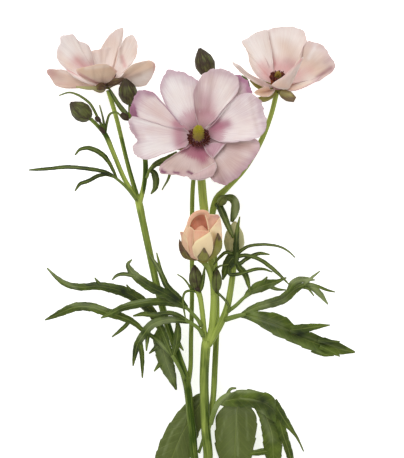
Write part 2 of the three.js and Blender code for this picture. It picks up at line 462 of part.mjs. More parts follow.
// A closed thin sheet over a grid of points, joined from a wedge for each half of a cell, so that
// it stays sound where it folds over itself
function sheet(rows, thickness, grow = 0) {
  const last = rows.length - 1;
  const side = rows[0].length - 1;
  const half = thickness / 2 + grow;
  const grid = rows.map((row) => row.map((point) => point.clone()));
  if (grow > 0) {
    const push = (edge, inner) => edge.add(edge.clone().sub(inner).setLength(grow));
    grid.forEach((row) => push(row[0], row[1]));
    grid.forEach((row) => push(row[side], row[side - 1]));
    grid[0].forEach((point, column) => push(point, grid[1][column]));
    grid[last].forEach((point, column) => push(point, grid[last - 1][column]));
  }
  const points = [];
  const normals = grid.map((row, i) => row.map((point, j) => {
    const along = grid[Math.min(i + 1, last)][j].clone().sub(grid[Math.max(i - 1, 0)][j]);
    const across = row[Math.min(j + 1, side)].clone().sub(row[Math.max(j - 1, 0)]);
    return across.cross(along).normalize();
  }));
  for (const sign of [1, -1]) {
    grid.forEach((row, i) => row.forEach((point, j) => {
      points.push(point.clone().addScaledVector(normals[i][j], sign * half));
    }));
  }
  const width = side + 1;
  const back = (last + 1) * width;
  const at = (i, j) => i * width + j;
  const wedges = [];
  for (let i = 0; i < last; i += 1) {
    for (let j = 0; j < side; j += 1) {
      const [a, b, c, d] = [at(i, j), at(i, j + 1), at(i + 1, j + 1), at(i + 1, j)];
      for (const corners of [[a, b, c], [a, c, d]]) {
        const ends = corners.flatMap((corner) => [points[corner], points[back + corner]]);
        wedges.push(wasm.Manifold.hull(ends.map(({ x, y, z }) => [x, y, z])));
      }
    }
  }
  return wasm.Manifold.union(wedges.filter((wedge) => wedge.volume() > 0));
}

// A round rod along points, with its own radius at each; ends are flat caps
function rod(points, radii, sides, grow = 0) {
  const up = new THREE.Vector3(0, 0, 1);
  const path = points.map((point) => point.clone());
  const last = path.length - 1;
  const tangents = path.map((point, i) => (
    path[Math.min(i + 1, last)].clone().sub(path[Math.max(i - 1, 0)]).normalize()));
  if (grow > 0) {
    path[0].addScaledVector(tangents[0], -grow);
    path[last].addScaledVector(tangents[last], grow);
  }
  let across = new THREE.Vector3().crossVectors(tangents[0], up).normalize();
  const vertices = [];
  path.forEach((point, i) => {
    across.addScaledVector(tangents[i], -across.dot(tangents[i])).normalize();
    const lift = new THREE.Vector3().crossVectors(across, tangents[i]);
    for (let k = 0; k < sides; k += 1) {
      const angle = (k + 0.5) * 2 * Math.PI / sides;
      const radius = radii[i] + grow;
      vertices.push(point.clone()
        .addScaledVector(across, radius * Math.cos(angle))
        .addScaledVector(lift, radius * Math.sin(angle)));
    }
  });
  const triangles = [];
  for (let i = 0; i < last; i += 1) {
    for (let k = 0; k < sides; k += 1) {
      const next = (k + 1) % sides;
      const [a, b] = [i * sides + k, i * sides + next];
      triangles.push([a, b, b + sides], [a, b + sides, a + sides]);
    }
  }
  for (let k = 1; k < sides - 1; k += 1) {
    triangles.push([0, k + 1, k]);
    triangles.push([last * sides, last * sides + k, last * sides + k + 1]);
  }
  return solidFrom(vertices, triangles);
}

// Parts of the plant

function stemRod(stations, grow = 0, sides = STEM_SIDES) {
  return rod(stations.map(place), stations.map((station) => station[3]), sides, grow);
}

function bladeSheet({ upper, lower, keel = 0 }, thickness, grow = 0) {
  const rows = upper.map((point, i) => {
    const first = place(point);
    const second = place(lower[i]);
    const middle = first.clone().add(second).multiplyScalar(0.5);
    const ends = i === 0 || i === upper.length - 1;
    middle.z += ends ? 0 : keel;
    return [first, middle, second];
  });
  return sheet(rows, thickness, grow);
}

// A leaf lobe: three points across at each station of its middle line, or two on a narrow one
function lobeSheet(stations, thickness, grow = 0, root = null) {
  const middle = stations.map(place);
  const widths = stations.map((station) => station[3] * MM_PER_PIXEL);
  if (root) {
    middle.unshift(root.point);
    widths.unshift(root.width);
  }
  const last = middle.length - 1;
  const narrow = Math.max(...widths) < NARROW_LOBE;
  const rows = middle.map((point, i) => {
    const along = middle[Math.min(i + 1, last)].clone().sub(middle[Math.max(i - 1, 0)]);
    const across = new THREE.Vector3(-along.y, along.x, 0).normalize();
    const half = widths[i] / 2;
    const droop = -0.18 * half;
    const edge = (side) => point.clone().addScaledVector(across, side * half).setZ(point.z + droop);
    return narrow ? [edge(1), edge(-1)] : [edge(1), point, edge(-1)];
  });
  return sheet(rows, thickness, grow);
}

function leafSolid({ petiole, lobes, blades = [] }, grow = 0) {
  const pieces = [stemRod(petiole, grow, 5)];
  lobes.forEach((stations) => pieces.push(lobeSheet(stations, LEAF_THICKNESS, grow)));
  blades.forEach((blade) => pieces.push(bladeSheet(blade, LEAF_THICKNESS, grow)));
  return join(pieces);
}

// A petal: rays from near the base to the points of its rim, bowed by its bulge
function petalSheet(base, rim, bulge, grow = 0) {
  const steps = [0.03, 0.48, 1];
  const rows = steps.map((share) => rim.map((edge) => {
    const bow = 4 * share * (1 - share);
    return base.clone().lerp(edge, share).addScaledVector(bulge, bow * 0.5);
  }));
  return sheet(rows, PETAL_THICKNESS, grow);
}

// Rim heights of the front bloom: a shallow bowl that leans with its axis
function bowlHeight([right, down], lift) {
  const centre = place(FRONT_BLOOM.centre);
  const point = place([right, down, 0]);
  const away = new THREE.Vector2(point.x - centre.x, point.y - centre.y);
  const share = away.length() / (FRONT_BLOOM_WIDTH / 2);
  return FRONT_BLOOM.centre[2] - FRONT_BLOOM.lean * away.y + FRONT_BLOOM.cup * share ** 1.4 + lift;
}

function bloomPetals(bloom, grow = 0) {
  const centre = place(bloom.centre);
  const axis = new THREE.Vector3(...bloom.axis).normalize();
  const radius = bloom.receptacleRadius;
  const seat = [centre.clone().addScaledVector(axis, -1.4), centre.clone().addScaledVector(axis, 0.5)];
  const pieces = [rod(seat, [radius * 0.7, radius], 10, grow)];
  bloom.petals.forEach(({ rim, bulge = [0, 0, 0], lift = 0 }) => {
    const edge = rim.map((point) => (
      point.length === 3 ? place(point) : place([...point, bowlHeight(point, lift)])));
    const away = edge[Math.floor(edge.length / 2)].clone().sub(centre);
    away.addScaledVector(axis, -away.dot(axis)).setLength(radius * 0.5);
    const base = centre.clone().add(away).addScaledVector(axis, -0.5);
    pieces.push(petalSheet(base, edge, new THREE.Vector3(...bulge), grow));
  });
  return join(pieces);
}

function sepalRing(bloom, { discRadius, lobes }) {
  const { centre, axis } = bloomFrame(bloom);
  const disc = [centre.clone().addScaledVector(axis, -3.8), centre.clone().addScaledVector(axis, -1.8)];
  const middle = centre.clone().addScaledVector(axis, -2.8);
  const pieces = [rod(disc, [discRadius * 0.8, discRadius], 8)];
  lobes.forEach((stations) => {
    const away = place(stations[0]).sub(middle);
    away.addScaledVector(axis, -away.dot(axis)).setLength(discRadius * 0.6);
    const root = middle.clone().add(away);
    pieces.push(lobeSheet(stations, SEPAL_THICKNESS, 0, { point: root, width: discRadius }));
  });
  return join(pieces);
}

function budSolid({ base, tip, radius }, grow = 0) {
  const start = place(base);
  const end = place(tip);
  const points = BUD_PROFILE.map(([share]) => start.clone().lerp(end, share));
  const radii = BUD_PROFILE.map(([, share]) => radius * share);
  return rod(points, radii, BUD_SIDES, grow);
}

// Axes of a bloom: two directions across and the axis itself
function bloomFrame(bloom) {
  const axis = new THREE.Vector3(...bloom.axis).normalize();
  const across = new THREE.Vector3(1, 0, 0);
  across.addScaledVector(axis, -across.dot(axis)).normalize();
  const lift = new THREE.Vector3().crossVectors(axis, across);
  return { centre: place(bloom.centre), axis, across, lift };
}

function stamenRing(bloom, { count, ringRadius, height, radius }) {
  const { centre, axis, across, lift } = bloomFrame(bloom);
  const spot = (angle, out, up) => centre.clone()
    .addScaledVector(across, out * Math.cos(angle))
    .addScaledVector(lift, out * Math.sin(angle))
    .addScaledVector(axis, up);
  const pieces = [rod([spot(0, 0, 0.85), spot(0, 0, 2.2)], [ringRadius, ringRadius * 0.9], 8)];
  for (let k = 0; k < count; k += 1) {
    const inner = k % 2;
    const angle = k * 2 * Math.PI / count;
    const points = [
      spot(angle, ringRadius * (inner ? 0.6 : 0.8), 1.5),
      spot(angle, ringRadius * (inner ? 0.95 : 1.4), height * (inner ? 1 : 0.8)),
    ];
    pieces.push(rod(points, [radius * 0.6, radius], 3));
  }
  return join(pieces);
}

function pistilCone(bloom, { radius, height }, grow = 0) {
  const { centre, axis } = bloomFrame(bloom);
  const shares = [[0, 0.9], [0.4, 1], [0.8, 0.74], [1, 0.3]];
  const points = shares.map(([share]) => centre.clone().addScaledVector(axis, 0.85 + share * height));
  return rod(points, shares.map(([, share]) => radius * share), 8, grow);
}

// Peach bud: a cup with an open mouth, and petals wrapped round it
function budFrame() {
  const base = place(PEACH_BUD.base);
  const top = place(PEACH_BUD.top);
  const axis = top.clone().sub(base);
  const length = axis.length();
  axis.normalize();
  const across = new THREE.Vector3(1, 0, 0);
  across.addScaledVector(axis, -across.dot(axis)).normalize();
  const lift = new THREE.Vector3().crossVectors(across, axis);
  const spot = (angle, radius, share) => base.clone()
    .addScaledVector(across, radius * Math.cos(angle))
    .addScaledVector(lift, radius * Math.sin(angle))
    .addScaledVector(axis, share * length);
  return { base, axis, length, spot };
}

function budRadius(share) {
  const { profile, radius } = PEACH_BUD;
  const next = Math.max(1, profile.findIndex(([at]) => at >= share));
  const [low, high] = [profile[next - 1], profile[next]];
  const mix = (share - low[0]) / (high[0] - low[0]);
  return radius * (low[1] + (high[1] - low[1]) * mix);
}

function wrapSheet({ from, to, tip, offset, foot = 0.08, thickness }, grow = 0) {
  const { spot } = budFrame();
  const rows = [];
  for (let i = 0; i <= 3; i += 1) {
    const row = [];
    for (let j = 0; j <= 4; j += 1) {
      const side = j / 2 - 1;
      const angle = THREE.MathUtils.degToRad(from + (to - from) * j / 4);
      const share = foot + (tip - foot) * (i / 3) * (1 - 0.3 * side ** 4 * (i / 3));
      row.push(spot(angle, budRadius(share) + offset, share));
    }
    rows.push(row);
  }
  return sheet(rows, thickness, grow);
}

const PEACH_PETALS = [
  { from: 50, to: 165, tip: 0.86, offset: -0.7 },
  { from: -10, to: 75, tip: 0.97, offset: -0.4 },
  { from: 140, to: 235, tip: 0.7, offset: -0.2 },
  { from: 200, to: 300, tip: 0.95, offset: -0.7 },
  { from: 280, to: 362, tip: 0.9, offset: -0.5 },
];
const PEACH_SEPALS = [
  { from: 70, to: 112, tip: 0.26 },
  { from: 128, to: 176, tip: 0.46 },
  { from: 6, to: 44, tip: 0.6 },
  { from: 205, to: 250, tip: 0.5 },
  { from: 285, to: 330, tip: 0.5 },
];

function peachPetals(grow = 0) {
  const { spot } = budFrame();
  const outer = PEACH_BUD.profile.map(([share]) => share).filter((share) => share < 0.95);
  const points = outer.map((share) => spot(0, 0, share * 0.97 + 0.02));
  const radii = outer.map((share) => budRadius(share) - 0.8);
  const mouth = rod([spot(0, 0, 0.62), spot(0, 0, 1.1)], [3.4, 6.4], 8);
  const core = rod(points, radii, 8, grow).subtract(mouth);
  const wraps = PEACH_PETALS.map((petal) => wrapSheet({ ...petal, thickness: 1.4 }, grow));
  const heart = rod([spot(0, 0, 0.5), spot(0, 0, 0.78)], [4.2, 2.6], 8, grow);
  return join([core, heart, ...wraps]);
}

function peachSepals() {
  const { spot } = budFrame();
  const disc = rod([spot(0, 0, -0.02), spot(0, 0, 0.06)], [2.4, 4.6], 12);
  const wraps = PEACH_SEPALS.map((sepal) => (
    wrapSheet({ ...sepal, offset: 0.9, foot: 0.02, thickness: SEPAL_THICKNESS })));
  return join([disc, ...wraps]);
}

// The table: everything below it is trimmed off, which leaves small flat rest spots
function tableBlock() {
  const block = new THREE.BoxGeometry(800, 800, 40);
  block.translate(0, 0, -20);
  const corners = [];
  const position = block.getAttribute('position');
  const keys = new Map();
  const indices = [];
  for (let i = 0; i < position.count; i += 1) {
    const corner = new THREE.Vector3().fromBufferAttribute(position, i);
    const key = corner.toArray().join();
    if (!keys.has(key)) {
      keys.set(key, corners.length);
      corners.push(corner);
    }
    indices.push(keys.get(key));
  }
  const triangles = [];
  const index = block.getIndex().array;
  for (let i = 0; i < index.length; i += 3) {
    triangles.push([indices[index[i]], indices[index[i + 1]], indices[index[i + 2]]]);
  }
  return solidFrom(corners, triangles);
}

// The whole spray

function allStems(grow = 0) {
  return join(Object.values(STEMS).map((stations) => stemRod(stations, grow)));
}

function allBracts(grow = 0) {
  return Object.values(BRACTS).map((stations) => lobeSheet(stations, LEAF_THICKNESS, grow));
}

const spray = new THREE.Group();
const table = tableBlock();

function addNode(name, solid, colour, roughness) {
  const body = mainBody(solid);
  const mesh = body.getMesh();
  const geometry = new THREE.BufferGeometry();
  const positions = new Float32Array(mesh.numVert * 3);
  for (let i = 0; i < mesh.numVert; i += 1) {
    for (let axis = 0; axis < 3; axis += 1) {
      positions[i * 3 + axis] = mesh.vertProperties[i * mesh.numProp + axis];
    }
  }
  geometry.setAttribute('position', new THREE.BufferAttribute(positions, 3));
  geometry.setIndex(new THREE.BufferAttribute(mesh.triVerts, 1));
  const material = new THREE.MeshStandardMaterial({ color: colour, roughness, metalness: 0 });
  const node = new THREE.Mesh(geometry, material);
  node.name = name;
  node.position.copy(CENTRE_SHIFT);
  spray.add(node);
}

const stems = join([allStems(), ...allBracts()]);
const stemsGrown = join([allStems(CLEARANCE), ...allBracts(CLEARANCE)]);
addNode('stems', stems.subtract(table), COLOURS.stem, 0.5);

Object.entries(LEAVES).forEach(([name, leaf]) => {
  const solid = leafSolid(leaf).subtract(stemsGrown).subtract(table);
  addNode(name, solid, COLOURS.leaf, 0.6);
});

Object.entries(GREEN_BUDS).forEach(([name, bud]) => {
  addNode(name, budSolid(bud).subtract(stemsGrown), COLOURS.bud, 0.65);
});

const BLOOMS = {
  front_bloom: {
    bloom: FRONT_BLOOM, colour: COLOURS.mauvePetal,
    ring: { count: 16, ringRadius: 4.2, height: 5.4, radius: 0.9 },
    cone: { radius: 2.7, height: 6.2 },
  },
  left_bloom: {
    bloom: LEFT_BLOOM, colour: COLOURS.creamPetal,
    ring: { count: 8, ringRadius: 2.4, height: 4.6, radius: 0.7 },
    cone: { radius: 1.5, height: 4.4 },
  },
  right_bloom: {
    bloom: RIGHT_BLOOM, colour: COLOURS.creamPetal,
    ring: { count: 10, ringRadius: 2.4, height: 5.2, radius: 0.75 },
    cone: { radius: 1.7, height: 5.6 },
  },
};

Object.entries(BLOOMS).forEach(([name, { bloom, colour, ring, cone }]) => {
  const petals = bloomPetals(bloom).subtract(stemsGrown);
  const petalsGrown = bloomPetals(bloom, CLEARANCE * 1.4);
  const coneGrown = pistilCone(bloom, cone, CLEARANCE);
  addNode(`${name}_petals`, petals.subtract(table), colour, 0.6);
  addNode(`${name}_stamens`, cutBy(stamenRing(bloom, ring), [petalsGrown, coneGrown]), COLOURS.stamen, 0.7);
  addNode(`${name}_pistil`, pistilCone(bloom, cone).subtract(petalsGrown), COLOURS.pistil, 0.55);
  const sepals = sepalRing(bloom, SEPALS[name]);
  addNode(`${name}_sepals`, cutBy(sepals, [petalsGrown, stemsGrown]), COLOURS.sepal, 0.6);
});

const peachGrown = peachPetals(CLEARANCE);
addNode('peach_bud_petals', peachPetals().subtract(stemsGrown), COLOURS.peachPetal, 0.6);
addNode('peach_bud_sepals', cutBy(peachSepals(), [peachGrown, stemsGrown]), COLOURS.sepal, 0.6);

export default spray;
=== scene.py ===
"""A cut ranunculus stem with three open blooms, a peach bud, green buds and cut leaves.

It lies on a pale floor and is seen from straight above. Rows of numbers follow the picture of the
plant: pixels right, pixels down, height above the table in millimetres, and a width or radius.
"""

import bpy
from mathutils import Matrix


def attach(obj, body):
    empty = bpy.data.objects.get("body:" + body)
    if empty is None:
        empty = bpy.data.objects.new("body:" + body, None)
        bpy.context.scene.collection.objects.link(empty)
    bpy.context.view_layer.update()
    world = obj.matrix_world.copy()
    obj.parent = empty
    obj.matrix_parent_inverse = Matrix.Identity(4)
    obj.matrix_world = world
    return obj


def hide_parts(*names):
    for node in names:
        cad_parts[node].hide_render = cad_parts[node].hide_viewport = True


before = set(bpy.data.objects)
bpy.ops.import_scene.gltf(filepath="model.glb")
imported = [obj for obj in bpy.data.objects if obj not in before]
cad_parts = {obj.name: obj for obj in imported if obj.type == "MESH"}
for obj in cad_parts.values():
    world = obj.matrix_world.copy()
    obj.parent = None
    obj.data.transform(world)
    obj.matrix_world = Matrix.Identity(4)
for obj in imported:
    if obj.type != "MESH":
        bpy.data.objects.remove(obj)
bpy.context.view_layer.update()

import math

import bpy
import numpy as np
from bpy.props import FloatProperty, FloatVectorProperty, IntProperty, PointerProperty
from mathutils import Matrix, Vector, noise

bl_info = {
    "name": "Ranunculus Stem",
    "version": (1, 0, 0),
    "blender": (4, 5, 0),
    "location": "3D View > Sidebar > Ranunculus",
    "description": "Builds a lying ranunculus stem with blooms, buds, leaves and hairs",
    "category": "Add Mesh",
}

MM = 0.001
RIGHT = np.array([1.0, 0.0, 0.0])

# The picture's frame and scale: the front bloom is 137 pixels and 74 mm wide
PICTURE_SIZE = (404, 458)
PICTURE_ORIGIN = (202.0, 229.0)
PIXEL = 74.0 / 137.0
CENTRE_SHIFT = (5.4, 42.8)

# Half of the front bloom's width in millimetres, the shift of one petal's veins against the next
# one's, the angle from one seed to the next, and where a wrapped petal starts on its bud
BLOOM_RADIUS = 37.0
STREAK_SHIFT = 31.0
GOLDEN_ANGLE = 2.399963
WRAP_FOOT = 0.03


def table(text):
    """Rows of numbers, one to each comma; a name before a row holds for the rows after it too"""
    rows, name = [], []
    for words in (row.split() for row in text.split(",")):
        if words and words[0].isalpha():
            name = [words.pop(0)]
        if words:
            rows.append(name + [float(word) for word in words])
    return rows


def tables(text):
    """Such tables, one to each semicolon"""
    return [table(part) for part in text.split(";")]


def named(text):
    """Such tables by name, with a name and a colon before each"""
    parts = [part.split(":") for part in text.split(";")]
    return {name.strip(): table(rows) for name, rows in parts}


# A soft stroke is the name of what it adds to, its start and end in the picture, its width in pixels
# and its strength. Light and shade strokes are painted light: painted highlights on lit sides and
# edges, and painted shade in folds, creases, overlaps and on sides turned from the lamps, partly
# standing for paler and darker colour that the plant has of its own

# Each stem: its tone at the start and at the end, from dark (0) to yellow-green (1), how hairy it
# is, and then its points with a radius in millimetres
STEMS = named("""
    main_stem: 0.4 0.45 0.25, 204 590 2.45 3, 204 566 3.9 3, 203.5 540 5.4 3, 203 510 7.2 3,
    202 490 8.4 3.1, 201.8 474 9.3 2.9;
    front_stem: 0.35 0.45 0.06, 202.5 484 8.8 2.6, 205.5 470 10 2.6, 208 458 11 2.6, 206 433 13 2.6,
    205 410 15 2.5, 204 380 17 2.5, 206 345 20 2.6, 207 340 20.5 2.5;
    left_stem: 0.1 0.5 0.25, 201.5 484 8.8 2.3, 197 470 9.6 2.2, 194.5 458 10 2.2, 192.5 433 11.5 2.2,
    190 410 12.6 2.1, 187 384 14 2.2, 178 355 15.5 2, 166 320 17 1.9, 158 290 18.5 1.9, 149 250 20 1.9,
    143 222 21.3 1.9, 139 203 22 2, 137.5 198 22.3 1.6;
    top_bud_stem: 0.4 0.6 0.2, 187.5 387 13.4 1.5, 190.5 368 12.3 1.3, 191 340 12 1.25, 192 300 12 1.25,
    192 260 12.6 1.25, 192 225 13.6 1.25, 193 185 15.5 1.25, 198 150 17 1.2, 203 120 18.3 1.2,
    208 88 19.6 1.2, 209 76.5 20 1.3;
    right_bloom_stem: 0.35 0.95 0.25, 206.5 432 12.6 1.7, 210 420 11.8 1.7, 213 400 11 1.6,
    215 365 10.8 1.6, 216.5 330 11.2 1.6, 216.5 300 12 1.6, 214.5 260 13 1.6, 212 230 14 1.6,
    213 210 15 1.8, 218 197 15.8 2, 226 189 16.5 1.6, 245 168 18.5 1.5, 261 141 19.5 1.4, 271 115 19 1.3,
    276.5 93 18 1.4;
    front_bloom_stem: 0.85 0.95 0.35, 207.5 343 20.4 2, 211.5 330 21.2 1.9, 213.5 310 22.2 1.9,
    214 292 23 1.9, 212 270 23.8 1.9, 209 240 24.6 2, 204 208 25.5 2.3, 201.5 180 27.5 2.2, 200 160 30.5 2,
    199.3 148 33.2 1.9, 199 140.4 35 1.8;
    peach_bud_stem: 0.4 0.55 1, 213.6 296 23 1.4, 212.5 283 26 1.4, 209.5 272 29.5 1.4, 206.4 265.6 33 1.5,
    203.5 262 36.2 1.5;
    left_knot_stem: 0.6 0.95 0.8, 205.5 345 20 1.6, 204 330 21.8 1.5, 202 310 24 1.4, 199.5 295 25.6 1.5,
    197 289.5 26.4 1.7;
    right_leaf_stem: 0.55 0.8 0.5, 208.5 345 20 1.9, 214 336 21.2 1.9, 221 323 22.4 1.9, 227 308 23.4 1.8,
    231 287 24.2 1.7, 233.5 268 24.8 1.6, 234.5 257 25.2 1.6;
    left_bud_stem: 0.6 0.35 0.4, 138.2 201 22.2 1.5, 125 180 23 1.3, 113 152 24.6 1.3, 105 134 26.4 1.4,
    97.6 125.6 27.2 1.1, 90.6 118.8 27.8 1.1;
    left_bloom_stem: 0.55 0.65 0.15, 138.8 202 22.2 1.4, 128 165 22.6 1.2, 117 120 23 1.2, 108.2 90 23 1.3;
    inner_bud_stem: 0.45 0.3 0.3, 139.5 203 22 1.5, 144 185 22.8 1.3, 145.6 165 24 1.4, 142 142 26 1.1,
    134 125 28 1, 130.6 115 29 1.2, 130.4 104.6 29.4 1.1""")
# Painted light on the stems: light strokes paint highlights down their lit sides and lift stretches that lie
# in shade under the buds, besides the paler joints; shade strokes paint their shaded sides
STEM_STROKES = table("""
    light 131 198 138 207 3 0.7, 141 196 141 202 2.4 0.6, 203 342 206 346 3 0.5, 208 346 212 340 2.4 0.4,
    212 262 213 292 3 1.2, 213 380 212 430 2 0.5, 203 330 201 300 1.6 0.4, 214 318 214 296 2 0.4,
    204 430 203 370 1.4 0.45, 107 92 116 122 2 0.4, 108 138 130 188 1.6 0.5, 141 163 141 190 1.8 0.6,
    160 326 177 372 2.6 1.2, 212 338 232 268 2 0.4, shade 209 440 207 360 1.4 0.35, 122 140 138 196 1.6 0.6,
    146 163 144 190 1.8 0.7, 169 322 184 376 1.4 0.8, 188 390 194 440 2.4 0.3, 103 128 108 136 4 0.8""")

# Narrow bracts at the joints, with a width in pixels
BRACTS = named("""
    left_knot_outer: 104.5 130 27.6 3, 100 122 28.6 2.6, 91 105 30 2.6, 86 100 30 2.4, 77 94.5 29 2.2,
    69 92.5 28 1.8, 59 95.5 26 1.2;
    left_knot_upright: 104.5 131 27.6 3, 103.5 121 29 2.2, 102 114 30 1.8, 99.5 105 31 1.2;
    left_knot_curl: 105 133 27 3, 107 122 28.4 2.6, 110 114 29.4 2.2, 117 112.5 29.8 1.8, 122 118 29.6 1.4;
    inner_knot_strap: 130 118 29 5, 124.5 112 28 5, 117.5 103 26.6 4.4, 111 92 25.4 3, 108.5 87.5 24.6 1.6;
    front_knot_far: 197.5 292 26.6 3, 191 289 28 2.4, 188.7 285 28.6 2, 183.4 278.3 29 1.6,
    177.3 274.3 28.4 1.1;
    front_knot_hook: 197.5 292 26.4 3, 191 290.6 28.4 2.6, 185.4 292 29.4 2.4, 183 298 31.2 2.2,
    183.4 306.4 34.2 2, 185.6 318.8 33.4 1.1;
    front_knot_blade: 198.5 293 27 3, 201.5 287 29.6 4, 203.4 277 30.2 3.6, 204.6 267 30.6 1.2;
    right_knot_hook: 214.5 290 24.4 3, 219 294 26.6 2.6, 225 300 28.2 2.4, 228.8 306 28.8 2,
    229.4 313 28.4 1.1;
    right_knot_far: 213.5 276 25.2 3, 216 269 27 2.4, 220 266 28 2, 228.3 264.4 29.4 1.1;
    fuzzy_strap: 216 202 16.6 6, 219.5 206.5 20 7, 224 216 25 7, 228.5 227 29.4 5.4, 233.6 238 31.2 2;
    fuzzy_loop: 219 198.5 17.4 5, 226 197.6 20.4 6, 232 198.4 21.4 8, 235.4 204 20.6 8.4, 234.4 213 19 8,
    231.6 222 17.6 3;
    right_bloom_tick: 252.5 158 19.4 3, 252 118 17 2.4, 250 96 15 2, 247 80 13.6 2.4, 241.5 75.5 12.6 1.4""")
# Light and shade strokes on the bracts: partly painted highlights and painted shade, partly the pale colour
# of the hairy loop and their own darker parts
BRACT_STROKES = table("""
    light 236 200 235.4 216 2.8 1.5, 228 198 230 210 1.6 0.6, 221 210 232 234 1.2 0.5,
    252 118 252 150 2 0.3, 112 92 126 112 1.2 0.4, 60 95 90 104 2 0.3, shade 216 200 228 222 3 0.3,
    104 118 108 134 4 0.6""")
